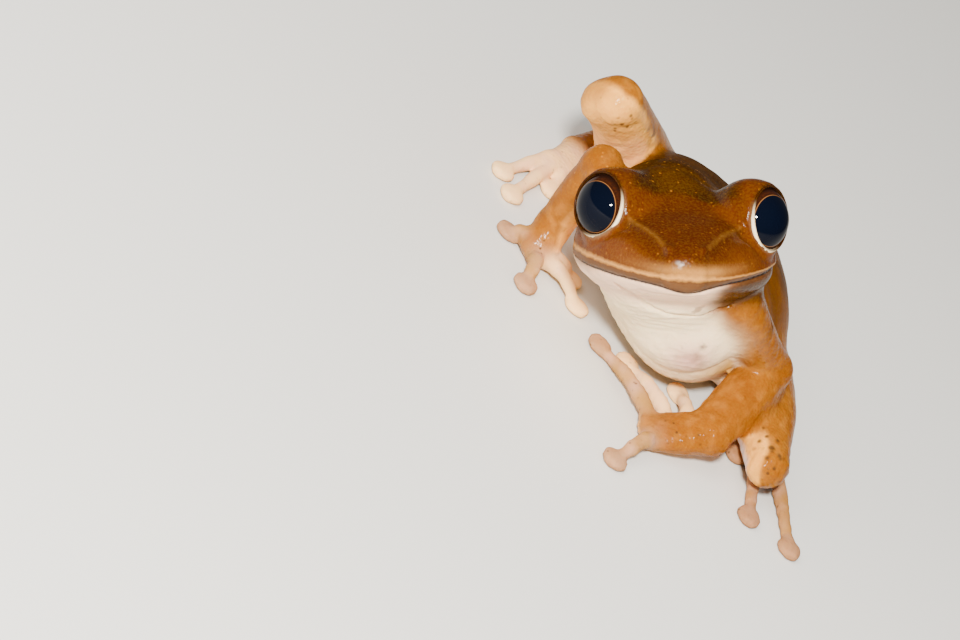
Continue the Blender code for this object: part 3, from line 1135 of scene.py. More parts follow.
@dataclass
class Skin:
    """The frog's whole skin as one closed surface, with its relief and colours.

    Attributes:
        flesh: The body it covers.
        cell: Width of a cell of the grid the surface is drawn from.
        coarse: How many cells a cell of the first, rough grid spans.
        margin: How far the grid reaches past the body's box.
        blend: How softly one form's colours run into the next one's.
        flank_spots: Dark spots behind the left shoulder.
        chest_blush: The pink, brown-flecked skin at the left armpit.
        chest_specks: The dark specks round it.
        chest_dot: One dark dot over it.
        knees: Each knee's dark specks, with their strength.
    """

    flesh: Flesh
    cell: float = 0.31
    coarse: int = 4
    margin: float = 1.5
    blend: float = 0.45
    flank_spots: Patch = Patch((10.9, 0.4, 17.0), 2.4)
    chest_blush: Patch = Patch((7.4, -6.0, 9.6), 2.6)
    chest_specks: Patch = Patch((7.6, -6.4, 11.0), 1.8)
    chest_dot: Patch = Patch((7.6, -6.6, 12.0), 0.34)
    knees: Sequence[tuple[Patch, float]] = ((Patch((20.8, -3.9, 6.8), 3.0), 1.0),
                                            (Patch((-14.8, 9.2, 17.8), 3.0), 0.7))

    def build(self) -> Piece:
        """Return the finished skin.

        Returns:
            The skin, its points lifted by the grain and given their colours.
        """
        points, faces = self.surface()
        LOG.info("surface: %d points", len(points))
        # two steps along the gradient bring each point onto the true outline
        for _ in range(2):
            away, slope = self.slope(points)
            size = np.maximum((slope * slope).sum(1), 0.1)
            points = points - slope * np.clip(away / size, -0.3, 0.3)[:, None]
        normal = unit(self.slope(points)[1])
        points = points + normal * self.relief(points, normal)[:, None]
        points[:, 2] = np.maximum(points[:, 2], 0.0)
        tone, values = self.paint(points, normal)
        return Piece("skin", points, (faces,), {"tone": tone}, values)

    def surface(self) -> tuple[Array, Array]:
        """Return the points and four-sided faces of the flesh's outline.

        The distance is worked out on a coarse lattice first and then, on a fine one, only
        near the outline; the surface is drawn where it is zero.

        Returns:
            The points in the drawing's axes, and the faces' point numbers.
        """
        low = np.array(CAD_BOUNDS[0]) / MM + CENTRE - self.margin
        high = np.array(CAD_BOUNDS[1]) / MM + CENTRE + self.margin
        wide = self.cell * self.coarse
        count = np.ceil((high - low) / wide).astype(int) + 1
        lattice = np.stack(np.meshgrid(*[np.arange(n) for n in count], indexing="ij"), -1)
        rough = self.flesh.distance(lattice.reshape(-1, 3) * wide + low).reshape(count)
        # the fine lattice starts from the coarse one's values, axis by axis
        for axis in range(3):
            place = np.arange((rough.shape[axis] - 1) * self.coarse + 1) / self.coarse
            below = np.minimum(place.astype(int), rough.shape[axis] - 2)
            shape = [-1 if i == axis else 1 for i in range(3)]
            t = (place - below).reshape(shape)
            rough = (np.take(rough, below, axis) * (1 - t) + np.take(rough, below + 1, axis) * t)
        band = np.nonzero(np.abs(rough) < 1.2 * wide)
        rough[band] = self.flesh.distance(np.stack(band, 1) * self.cell + low)
        grid = openvdb.FloatGrid(FAR)
        grid.copyFromArray(rough.astype(np.float32))
        points, faces = grid.convertToQuads(isovalue=0.0)
        return points.astype(float) * self.cell + low, faces.astype(int)

    def slope(self, points: Array) -> tuple[Array, Array]:
        """Return the distance and its gradient, from differences over a small step.

        Args:
            points: In the drawing's axes.

        Returns:
            One distance and one gradient for each point.
        """
        small = 0.04
        here = self.flesh.distance(points)
        ahead = [self.flesh.distance(points + small * axis) for axis in np.eye(3)]
        return here, np.stack([(value - here) / small for value in ahead], 1)

    def relief(self, points: Array, normal: Array) -> Array:
        """Return how far the skin's own grain and wrinkles lift it.

        The throat has fine level pleats 0.62 mm apart, the neck slanting ones 0.8 mm apart,
        both sines bent by noise, and the whole skin soft lumps, stronger underneath.

        Args:
            points: In the drawing's axes.
            normal: The outward directions there.

        Returns:
            One height for each point.
        """
        flesh = self.flesh
        local = flesh.face.straighten(flesh.head_frame.inward(points))
        forward, across, up = local.T
        under = step(-normal[:, 2], -0.15, 0.45)
        throat = step(up, -5.8, -7.2) * step(forward, -9.0, -5.0) * step(np.abs(across), 9.5, 7.0)
        bend = up + 0.02 * across ** 2 + 0.35 * noise(points, 2.6, 3)
        lift = 0.05 * throat * np.sin(2.0 * np.pi * bend / 0.62)
        neck = step(-points[:, 1], -3.0, 1.5) * step(up, -8.0, -10.0) * (1.0 - throat)
        bend = points[:, 0] + 0.5 * points[:, 2] + 0.5 * noise(points, 2.2, 5)
        lift += 0.035 * neck * np.sin(2.0 * np.pi * bend / 0.8)
        lift += 0.07 * noise(points, 0.75, 7) * (0.25 + 0.75 * under)
        lift += 0.035 * noise(points, 1.6, 9)
        return lift * step(points[:, 2], 0.05, 0.5)

    def paint(self, points: Array, normal: Array) -> tuple[Array, dict[str, Array]]:
        """Return the skin's colour and the strengths of the patterns over it.

        Args:
            points: In the drawing's axes.
            normal: The outward directions there.

        Returns:
            One linear colour for each point, and what patterns returns.
        """
        found = self.flesh.measure(points)
        local = self.flesh.face.straighten(self.flesh.head_frame.inward(points))
        tone = self.paint_lids(points, self.paint_forms(points, normal, found))
        forward, across, up = local.T
        # painted shade: the hollow behind the jaw on the left is darkened to the back's brown
        hollow = step(across, 2.6, 4.8) * step(up, -5.6, -6.1) * step(up, -10.5, -8.5)
        tone = mix(tone, Tone.BACK, 0.85 * hollow * step(forward, -9.0, -6.0))
        spots = step(noise(points, 0.7, 51), 0.05, 0.25)
        tone = mix(tone, Tone.BLACK_SPOT, 0.9 * spots * self.flank_spots.weight(points))
        return tone, self.patterns(points, tone, found, local)

    def paint_forms(self, points: Array, normal: Array, found: dict[str, Array]) -> Array:
        """Return the colours of all forms, blended where they meet.

        Each group of forms has colours of its own, and where groups meet theirs are weighed by
        exp(-distance / blend), so that one colour runs into the next.

        Args:
            points: In the drawing's axes.
            normal: The outward directions there.
            found: The distances to every form, by name.

        Returns:
            Linear colours.
        """
        trunk = np.minimum.reduce([found["trunk"], found["throat"], found["nape"]])
        groups = [(trunk, self.paint_trunk(points, normal)),
                  (found["head"], self.paint_head(points))]
        for side in Side:
            for fore, names in ((True, ARM_FORMS), (False, LEG_FORMS)):
                limb = np.minimum.reduce([found[f"{name}_{side.word}"] for name in names])
                groups.append((limb, self.paint_limb(points, normal, side, fore)))
            for kind, count in (("finger", FINGERS), ("toe", TOES)):
                for number in range(1, count + 1):
                    shaft = found[f"{kind}_{number}_{side.word}"]
                    disc = found[f"{kind}_disc_{number}_{side.word}"]
                    colours = self.paint_digit(points, kind, number, side, shaft, disc)
                    groups.append((np.minimum(shaft, disc), colours))
        total = np.zeros(len(points))
        tone = np.zeros((len(points), 3))
        for away, colours in groups:
            weight = np.exp(-np.clip(away, -1.0, FAR) / self.blend)
            tone += colours * weight[:, None]
            total += weight
        return tone / total[:, None]

    def patterns(self, points: Array, tone: Array, found: dict[str, Array],
                 local: Array) -> dict[str, Array]:
        """Return how strong each pattern of the skin is, by the name its finish reads.

        "mottle" is the pigment's clouds, "speckle" the dark specks, "grain" the granules,
        "gold" the gold flecks and "film" the wet film. "over" is the height over the mouth
        line, "lip" the same as a share of the way to the pale stripe, and "lips" is 1 where
        the lips are drawn.

        Args:
            points: In the drawing's axes.
            tone: The colours there.
            found: The distances to every form, by name.
            local: The points in the head's axes, middle line straightened.

        Returns:
            One number for each point, by name.
        """
        face = self.flesh.face
        forward, across, up = local.T
        digits = np.minimum.reduce([away for name, away in found.items()
                                    if name.startswith(("finger", "toe", "hand"))])
        hands = step(digits, 1.0, 0.2)
        limbs = np.minimum.reduce([found[f"{name}_{side.word}"] for side in Side
                                   for name in ARM_FORMS + LEG_FORMS])
        head = np.exp(-np.maximum(found["head"], 0.0))
        limb = np.exp(-np.maximum(limbs, 0.0))
        pale = step(tone.mean(1), 0.38, 0.62)
        knees = np.maximum.reduce([patch.weight(points) * strength
                                   for patch, strength in self.knees])
        speckle = (hands * (1.0 - 0.6 * pale) + 0.25 * head * (1 - pale) + 2.6 * knees
                   + self.chest_specks.weight(points))
        grain = np.clip(0.45 + 0.55 * (1 - head) * (1.0 - 0.5 * pale), 0.0, 1.0)
        crown = step(forward, 1.2, -0.4) * step(up, -1.5, 0.0) * step(points[:, 1], 16.0, 4.0)
        over = up - face.mouth(across)
        lip = over / (face.stripe(across) - face.mouth(across))
        return {"mottle": np.clip(0.75 - 0.6 * pale, 0.1, 1.0), "speckle": speckle,
                "grain": np.clip(grain + 0.8 * limb, 0.0, 1.6),
                "gold": np.clip(crown + 0.35 * head * step(up, -5.0, -3.5), 0.0, 1.0),
                "film": np.clip(0.03 + 0.35 * head + 0.45 * limb, 0.0, 0.5),
                "lips": (step(forward, -4.8, -3.2) * step(found["head"], 1.0, 0.3)
                         * step(over, 3.0, 2.4)),
                "over": np.clip(over, -2.0, 3.0), "lip": np.clip(lip, -2.0, 4.0)}

    def paint_head(self, points: Array) -> Array:
        """Return the head's colours, worked out in its own axes.

        The upper side is brown, lighter down the cheeks and round the brows, with a darker
        crown behind the eyes; the jaw under the mouth line is cream, with painted shade
        darkening its left side.

        Args:
            points: In the drawing's axes.

        Returns:
            Linear colours.
        """
        face = self.flesh.face
        local = self.flesh.head_frame.inward(points)
        straight = face.straighten(local)
        forward, across, up = straight.T
        wander = 0.5 * fractal(points, 1.7, 3, 11)
        tone = plain(Tone.SNOUT, len(points))
        tone = mix(tone, Tone.SNOUT_LIGHT, 0.75 * step(up, -0.8, -3.2)
                   * step(np.abs(across), 2.5, 6.0) + 0.25 * wander)
        brow = np.maximum.reduce([
            bell(length(local - face.eye_centre(side)) - 4.4, 0.9)
            for side in Side])
        tone = mix(tone, Tone.SNOUT_LIGHT, 0.35 * brow)
        edge = forward - 0.55 - 0.08 * across ** 2 + 0.7 * wander
        tone = mix(tone, Tone.CROWN, step(edge, 0.55, -0.5) * step(np.abs(across), 6.5, 4.6)
                   * step(up, -1.0, 0.2))
        tone = mix(tone, Tone.BACK, step(forward, -2.5, -5.5) * step(up, -2.8, -0.8))
        # painted shade: each nostril's opening is darkened to stand for the hole's depth
        for side in Side:
            nostril = np.array(mirrored([face.nostril], side)[0]) + [0.15, side.value * 0.62, -0.4]
            away = length(straight - nostril)
            tone = mix(tone, Tone.NOSTRIL, bell(away, 0.4))
        over = up - face.mouth(across)
        below = step(over, 0.1, -0.1)
        jaw = mix(plain(Tone.THROAT, len(points)), Tone.BELLY_PINK, 0.4 * wander + 0.15)
        side_jaw = step(up, -7.5, -5.8) * step(np.abs(across), 7.5, 9.8)
        jaw = mix(jaw, Tone.LIP_BAND, 0.55 * side_jaw)
        # painted shade: the jaw's left side under the lip is darkened where it tucks against the
        # shoulder
        jaw = mix(jaw, Tone.LIMB_SHADE, 0.9 * step(across + 0.5 * wander, 3.6, 5.4))
        jaw = mix(jaw, Tone.BACK, 0.7 * step(across, 4.5, 6.5))
        tone = tone * (1 - below[:, None]) + jaw * below[:, None]
        # a faint glow over the lip at the snout's tip, then a dark line under each ridge
        glow = bell(up - face.stripe(across) - 0.7, 0.6) * bell(across - 1.0, 4.5) * (1 - below)
        tone = mix(tone, Tone.LIP_STRIPE, 0.5 * glow * step(forward, 4.0, 8.0))
        for side in Side:
            line = np.array(mirrored(face.canthus, side))
            under = Crease(line + [-0.2, 0.25 * side.value, -0.5], 1.0, 0.3)
            tone = mix(tone, Tone.CROWN, 0.5 * under.lift(straight))
            tone = mix(tone, Tone.FLANK_PALE, 0.09 * Crease(line, 1.0, 0.24).lift(straight))
        return tone

    def paint_lids(self, points: Array, tone: Array) -> Array:
        """Return the colours with a pale edge round each opening, wide below and inside.

        Args:
            points: In the drawing's axes.
            tone: The colours before.

        Returns:
            Linear colours.
        """
        face = self.flesh.face
        local = self.flesh.head_frame.inward(points)
        for side in Side:
            offset = local - face.eye_centre(side)
            away = length(offset)
            look = face.eye_look(side)
            along = offset @ look
            wide = np.sqrt(np.maximum(away ** 2 - along ** 2, 0.0))
            around = (offset @ face.eye_tear(side)) / np.maximum(wide, 0.1)
            strong = step(around, 0.1, 0.8)
            beyond = wide - face.opening
            near = step(away, 6.2, 5.0) * step(along, 0.3, 1.0)
            # painted shadow: a dark line just outside the opening, all round except in front and
            # below, where the lid's edge meets the eye
            tone = mix(tone, Tone.CROWN, 0.75 * near * step(beyond, 0.45, 0.1) * (1 - strong))
            tone = mix(tone, Tone.LID_EDGE, 0.15 * near * step(beyond, 0.5, -0.2) * strong)
        return tone

    def paint_trunk(self, points: Array, normal: Array) -> Array:
        """Return the trunk's colours: dark back, orange flanks and cream underside.

        What decides is how far a place faces up; dark spots lie along the pale flank's edge.

        Args:
            points: In the drawing's axes.
            normal: The outward directions there.

        Returns:
            Linear colours.
        """
        wander = fractal(points, 2.4, 3, 17)
        neck = step(-points[:, 0], 3.0, 6.0) * step(points[:, 1], 5.0, -1.0)
        height = normal[:, 2] + 0.10 * wander + 0.55 * neck * step(points[:, 2], 8.5, 11.0)
        tone = mix(plain(Tone.BELLY, len(points)), Tone.BELLY_PINK,
                   0.3 + 0.4 * fractal(points, 3.5, 2, 19))
        tone = mix(tone, Tone.BELLY, 0.8 * step(points[:, 1], 6.0, -2.0))
        tone = mix(tone, Tone.FLANK_PALE,
                   step(height, -0.45, -0.15) * step(points[:, 1], -4.0, 1.0))
        spots = step(noise(points, 1.5, 23), 0.28, 0.42) * bell(height + 0.2, 0.22)
        rise = points[:, 2] + 5.0 * step(-points[:, 0], 3.0, 7.0)
        behind = np.maximum(step(points[:, 1], 0.5, 3.0), step(rise, 15.0, 17.5))
        tone = mix(tone, Tone.BLACK_SPOT, 0.8 * spots * behind)
        tone = mix(tone, Tone.FLANK, step(height, -0.12, 0.12)
                   * np.maximum(step(points[:, 1], -3.5, 0.0), step(rise, 15.0, 17.5)))
        top = normal @ unit(np.array([-0.4, 0.0, 0.92])) + 0.25 * wander
        tone = mix(tone, Tone.BACK, step(top, 0.50, 0.82) * behind)
        tone = mix(tone, Tone.CROWN, 0.6 * step(noise(points, 5.5, 29), 0.1, 0.5)
                   * step(height, 0.5, 0.8))
        blush = self.chest_blush.weight(points)
        tone = mix(tone, Tone.BELLY_PINK, blush)
        tone = mix(tone, Tone.LIP_BAND, blush * (0.12 + 0.6 * noise(points, 0.9, 43)))
        return mix(tone, Tone.BLACK_SPOT, 0.8 * self.chest_dot.weight(points))

    def paint_limb(self, points: Array, normal: Array, side: Side, fore: bool) -> Array:
        """Return a limb's colours: orange where it faces its own outer side, else pale.

        The legs also have dark spots along the colours' border, and pale knees; the right
        knee's crease has painted shade.

        Args:
            points: In the drawing's axes.
            normal: The outward directions there.
            side: The limb's side.
            fore: True for an arm, False for a leg.

        Returns:
            Linear colours.
        """
        # the outer side's direction, and how far a place must face it to be half orange
        outer = {
            (Side.LEFT, True): (0.45, -0.55, 0.70, -0.35),
            (Side.RIGHT, True): (-0.75, -0.25, 0.60, -0.10),
            (Side.LEFT, False): (0.85, -0.05, 0.50, 0.02),
            (Side.RIGHT, False): (-0.10, 0.50, 0.85, 0.30),
        }[(side, fore)]
        wander = fractal(points, 1.9, 3, 31)
        faces = normal @ unit(np.array(outer[:3])) - outer[3] + 0.12 * wander
        tone = mix(plain(Tone.LIMB_PALE, len(points)), Tone.LIMB_INNER, step(faces, -0.25, -0.6))
        patches = noise(points, 1.1, 35)
        tone = mix(tone, Tone.LIMB, 0.4 * step(patches, 0.15, 0.5) * step(faces, -0.7, -0.4))
        tone = mix(tone, Tone.LIMB, step(faces, -0.12, 0.16))
        tone = mix(tone, Tone.LIMB_PALE, 0.12 * step(noise(points, 0.8, 33), -0.1, 0.6))
        tone = mix(tone, Tone.LIMB_SHADE, 0.40 * step(faces, 0.35, 0.95) + 0.35 * wander)
        if not fore:
            spots = step(noise(points, 0.85, 37), 0.18, 0.34) * bell(faces + 0.02, 0.20)
            knee = length(points - np.array(LEGS[side].knee))
            tone = mix(tone, Tone.BLACK_SPOT, 0.75 * spots * step(knee, 3.5, 6.0))
            cap = step(knee, 6.5, 3.5) * step(faces, -0.1, -0.3)
            tone = mix(mix(tone, Tone.LIMB_PALE, 0.9 * cap), Tone.LIMB, 0.22 * cap)
            if side is Side.LEFT:
                tone = mix(tone, Tone.SHANK_WHITE, 0.7 * step(faces, -0.72, -0.92))
            else:
                # painted shade along the crease across the right knee
                fold = Crease(self.flesh.knee_fold.line, 1.0, 0.3).lift(points)
                tone = mix(tone, Tone.BLACK_SPOT, 0.4 * fold)
                rim = step(-normal[:, 0], 0.35, 0.85) * step(knee, 9.0, 5.0)
                tone = mix(tone, Tone.LIMB, 0.55 * rim)
        return tone

    def paint_digit(self, points: Array, kind: str, number: int, side: Side, shaft: Array,
                    disc: Array) -> Array:
        """Return a finger's or toe's colours, its disc greyer than its shaft.

        Args:
            points: In the drawing's axes.
            kind: "finger" or "toe".
            number: Its number, the inner one first.
            side: The digit's side.
            shaft: Distance to its shaft.
            disc: Distance to its disc.

        Returns:
            Linear colours.
        """
        tanned = number > 2 if kind == "finger" else side is Side.LEFT
        tone = plain(Tone.FINGER if tanned else Tone.FINGER_PALE, len(points))
        tone = mix(tone, Tone.BELLY_PINK, 0.2 + 0.35 * noise(points, 1.3, 41))
        tone = mix(tone, Tone.DISC if tanned else Tone.FINGER_PALE,
                   0.85 * step(disc - shaft, 0.5, -0.1))
        return mix(tone, Tone.LIMB_SHADE, np.full(len(points), 0.3 * (tanned and kind == "toe")))


# ---- materials ----
def add(tree: Tree, kind: str,
        settings: dict[str, object] | None = None) -> Node:
    """Add a node with its settings and links.

    Args:
        tree: The material's node tree.
        kind: The node's type without its "ShaderNode" start.
        settings: Names of properties or inputs, or "#" and an input's index, each with its
            value or with the output that is linked into it.

    Returns:
        The new node.
    """
    node = tree.nodes.new("ShaderNode" + kind)
    for name, value in (settings or {}).items():
        key = int(name[1:]) if name.startswith("#") else name
        if isinstance(value, Socket):
            tree.links.new(value, node.inputs[key])
        elif isinstance(key, int) or key in node.inputs:
            node.inputs[key].default_value = value
        else:
            setattr(node, key, value)
    return node


def new_material(name: str) -> tuple[Material, Tree, Node]:
    """Return a material with its tree and its Principled shader, linked to the output.

    Args:
        name: The material's name.

    Returns:
        The material, its node tree and its shader.
    """
    material = bpy.data.materials.new(name)
    material.use_nodes = True
    tree = material.node_tree
    shader = next(n for n in tree.nodes if n.bl_idname == "ShaderNodeBsdfPrincipled")
    return material, tree, shader


def per_metre(size: float) -> float:
    """Return the texture scale whose features are size millimetres wide."""
    return 1.0 / (size * MM)


Layer = tuple[str, Tone, Socket]  # a way to mix, a tone, and how strongly it is mixed in


@dataclass(frozen=True)
class MoistSkin:
    """A tree frog's skin: thin, moist and slightly translucent, pigment under a wet film.

    It gives soft pores and granules, mottled pigment and small sharp wet highlights. Finer
    than about 0.2 mm a pattern wouldn't show, so the pores are drawn that coarse.

    Attributes:
        blotch: Width of the pigment's darker clouds; this and the next widths are millimetres.
        fleck: Width of the pigment's paler flecks.
        speck: How far apart the dark specks lie.
        speck_patch: Width of the patches that have specks.
        spangle: How far apart the gold flecks lie.
        spangle_patch: Width of the patches that have gold flecks.
        lip_wave: Width of the waves in the lips' edges.
        granule: Width of the skin's granules.
        pimple: How far apart the few larger granules lie.
        pore: Width of the finest grain.
        gloss_patch: Width of the wetter and drier patches.
        relief: Height of the grain.
        roughness: The skin's own, under the film.
        film_roughness: The wet film's.
    """

    name: str = "moist_skin"
    blotch: float = 2.6
    fleck: float = 0.26
    speck: float = 0.95
    speck_patch: float = 2.6
    spangle: float = 0.62
    spangle_patch: float = 0.9
    lip_wave: float = 0.7
    granule: float = 0.46
    pimple: float = 1.7
    pore: float = 0.2
    gloss_patch: float = 1.2
    relief: float = 0.07
    roughness: float = 0.42
    film_roughness: float = 0.16

    def make(self) -> Material:
        """Return the material: pigment, specks, lips, grain and wet film.

        Returns:
            The material. It reads the skin's point attributes.
        """
        material, tree, shader = new_material(self.name)
        place = add(tree, "TexCoord").outputs["Object"]
        colour = add(tree, "Attribute", {"attribute_name": "tone"}).outputs["Color"]
        for mode, tone, weight in (*self.pigment(tree, place), *self.specks(tree, place),
                                   *self.lips(tree, place)):
            colour = add(tree, "Mix", {
                "data_type": "RGBA", "blend_type": mode, "#0": weight, "#6": colour,
                "#7": (*tone.colour, 1.0)}).outputs[2]
        normal = self.grain(tree, place)
        patches = add(tree, "TexNoise", {
            "Scale": per_metre(self.gloss_patch), "Detail": 3.0, "Vector": place})
        rough = add(tree, "MapRange", {
            "From Min": 0.3, "From Max": 0.7, "To Min": self.roughness - 0.08,
            "To Max": self.roughness + 0.10, "Value": patches.outputs["Fac"]})
        film = add(tree, "Attribute", {"attribute_name": "film"})
        for name, output in (("Base Color", colour), ("Normal", normal), ("Coat Normal", normal),
                             ("Roughness", rough.outputs["Result"]),
                             ("Coat Weight", film.outputs["Fac"])):
            tree.links.new(output, shader.inputs[name])
        for name, value in (("Subsurface Weight", 0.18), ("Subsurface Radius", (1.0, 0.45, 0.25)),
                            ("Subsurface Scale", 0.7 * MM),
                            ("Coat Roughness", self.film_roughness), ("Coat IOR", 1.33),
                            ("IOR", 1.4), ("Specular IOR Level", 0.0)):
            shader.inputs[name].default_value = value
        return material

    def pigment(self, tree: Tree, place: Socket) -> list[Layer]:
        """Return the darker clouds and the paler flecks, both as strong as "mottle".

        Args:
            tree: The material's node tree.
            place: Where, on the piece.

        Returns:
            The layers.
        """
        layers = []
        mottle = add(tree, "Attribute", {"attribute_name": "mottle"}).outputs["Fac"]
        for mode, tone, size, detail, low, high, most in (
                ("MULTIPLY", Tone.CLOUD, self.blotch, 4.0, 0.30, 0.72, 0.45),
                ("SCREEN", Tone.GLINT, self.fleck, 2.0, 0.38, 0.66, 0.10)):
            pattern = add(tree, "TexNoise", {
                "Scale": per_metre(size), "Detail": detail, "Vector": place})
            share = add(tree, "MapRange", {
                "From Min": low, "From Max": high, "To Max": most,
                "Value": pattern.outputs["Fac"]})
            weight = add(tree, "Math", {
                "operation": "MULTIPLY", "#0": share.outputs["Result"], "#1": mottle})
            layers.append((mode, tone, weight.outputs[0]))
        return layers

    def specks(self, tree: Tree, place: Socket) -> list[Layer]:
        """Return the dark specks, as strong as "speckle", and the gold flecks, as "gold".

        A "speckle" over 1 also makes the specks wider and their patches larger.

        Args:
            tree: The material's node tree.
            place: Where, on the piece.

        Returns:
            The layers.
        """
        layers = []
        speckle, gold = (add(tree, "Attribute", {"attribute_name": name}).outputs["Fac"]
                         for name in ("speckle", "gold"))
        strong, share = (add(tree, "Math", {"operation": kind, "#0": speckle, "#1": 1.0}).outputs[0]
                         for kind in ("MAXIMUM", "MINIMUM"))
        dots, spangles = (
            add(tree, "TexVoronoi", {"Scale": per_metre(size), "Vector": place}).outputs["Distance"]
            for size in (self.speck, self.spangle))
        patches, glitter = (
            add(tree, "TexNoise", {
                "Scale": per_metre(size), "Detail": 2.0, "Vector": place}).outputs["Fac"]
            for size in (self.speck_patch, self.spangle_patch))
        dots = add(tree, "Math", {"operation": "DIVIDE", "#0": dots, "#1": strong}).outputs[0]
        patches = add(tree, "Math", {
            "operation": "MULTIPLY_ADD", "#0": strong, "#1": 0.2, "#2": patches}).outputs[0]
        for tone, away, near, far, patch, low, high, most, strength in (
                (Tone.SPECK, dots, 0.10, 0.22, patches, 0.66, 0.80, 0.8, share),
                (Tone.GOLD, spangles, 0.12, 0.30, glitter, 0.50, 0.62, 0.7, gold)):
            dot = add(tree, "MapRange", {
                "From Min": near, "From Max": far, "To Min": 1.0, "To Max": 0.0, "Value": away})
            where = add(tree, "MapRange", {
                "From Min": low, "From Max": high, "To Max": most, "Value": patch})
            both = add(tree, "Math", {
                "operation": "MULTIPLY", "#0": dot.outputs[0], "#1": where.outputs[0]})
            weight = add(tree, "Math", {
                "operation": "MULTIPLY", "#0": both.outputs[0], "#1": strength})
            layers.append(("MIX", tone, weight.outputs[0]))
        return layers

    def lips(self, tree: Tree, place: Socket) -> list[Layer]:
        """Return the upper lip's brown band and pale stripe, and the mouth line's painted shade.

        Args:
            tree: The material's node tree.
            place: Where, on the piece.

        Returns:
            The layers.
        """
        layers = []
        over, lip, lips = (add(tree, "Attribute", {"attribute_name": name}).outputs["Fac"]
                           for name in ("over", "lip", "lips"))
        waves = add(tree, "TexNoise", {
            "Scale": per_metre(self.lip_wave), "Detail": 2.0, "Vector": place})
        wave = add(tree, "MapRange", {
            "From Min": 0.3, "From Max": 0.7, "To Min": -0.07, "To Max": 0.07,
            "Value": waves.outputs["Fac"]})
        wavy = add(tree, "Math", {
            "operation": "ADD", "#0": lip, "#1": wave.outputs["Result"]}).outputs[0]
        # for each tone the two edges of its line: what is read, from where to where the edge
        # runs, and the strength at each end
        for tone, edges in (
                (Tone.LIP_BAND, ((over, -0.10, 0.08, 0.0, 0.9), (wavy, 0.65, 0.95, 1.0, 0.0))),
                (Tone.LIP_STRIPE, ((wavy, 0.74, 0.98, 0.0, 0.6), (wavy, 1.02, 1.34, 1.0, 0.0))),
                # the mouth line: painted shade in the slit between the lips
                (Tone.MOUTH, ((over, -0.24, -0.12, 0.0, 0.95), (over, 0.04, 0.15, 1.0, 0.0)))):
            weight = lips
            for height, low, high, start, end in edges:
                edge = add(tree, "MapRange", {
                    "From Min": low, "From Max": high, "To Min": start, "To Max": end,
                    "Value": height})
                weight = add(tree, "Math", {
                    "operation": "MULTIPLY", "#0": weight, "#1": edge.outputs[0]}).outputs[0]
            layers.append(("MIX", tone, weight))
        return layers

    def grain(self, tree: Tree, place: Socket) -> Socket:
        """Return the normal of the granules, as high as "grain", the larger ones and the pores.

        Args:
            tree: The material's node tree.
            place: Where, on the piece.

        Returns:
            The normal.
        """
        grain = add(tree, "Attribute", {"attribute_name": "grain"}).outputs["Fac"]
        granules = add(tree, "TexVoronoi", {
            "Scale": per_metre(self.granule), "feature": "SMOOTH_F1", "Smoothness": 0.6,
            "Vector": place})
        pimples = add(tree, "TexVoronoi", {"Scale": per_metre(self.pimple), "Vector": place})
        pores = add(tree, "TexNoise", {
            "Scale": per_metre(self.pore), "Detail": 3.0, "Vector": place})
        domes = add(tree, "MapRange", {
            "From Min": 0.1, "From Max": 0.75, "To Min": 1.0, "To Max": 0.0,
            "Value": granules.outputs["Distance"]})
        peaks = add(tree, "MapRange", {
            "From Min": 0.0, "From Max": 0.13, "To Min": 1.6, "To Max": 0.0,
            "Value": pimples.outputs["Distance"]})
        raised = add(tree, "Math", {
            "operation": "MULTIPLY_ADD", "#0": domes.outputs[0], "#1": grain,
            "#2": peaks.outputs[0]})
        coarse = add(tree, "Math", {"operation": "MULTIPLY", "#0": raised.outputs[0], "#1": 0.6})
        height = add(tree, "Math", {
            "operation": "MULTIPLY_ADD", "#0": pores.outputs["Fac"], "#1": 0.45,
            "#2": coarse.outputs[0]})
        bump = add(tree, "Bump", {
            "Strength": 0.7, "Distance": self.relief * MM, "Height": height.outputs[0]})
        return bump.outputs["Normal"]


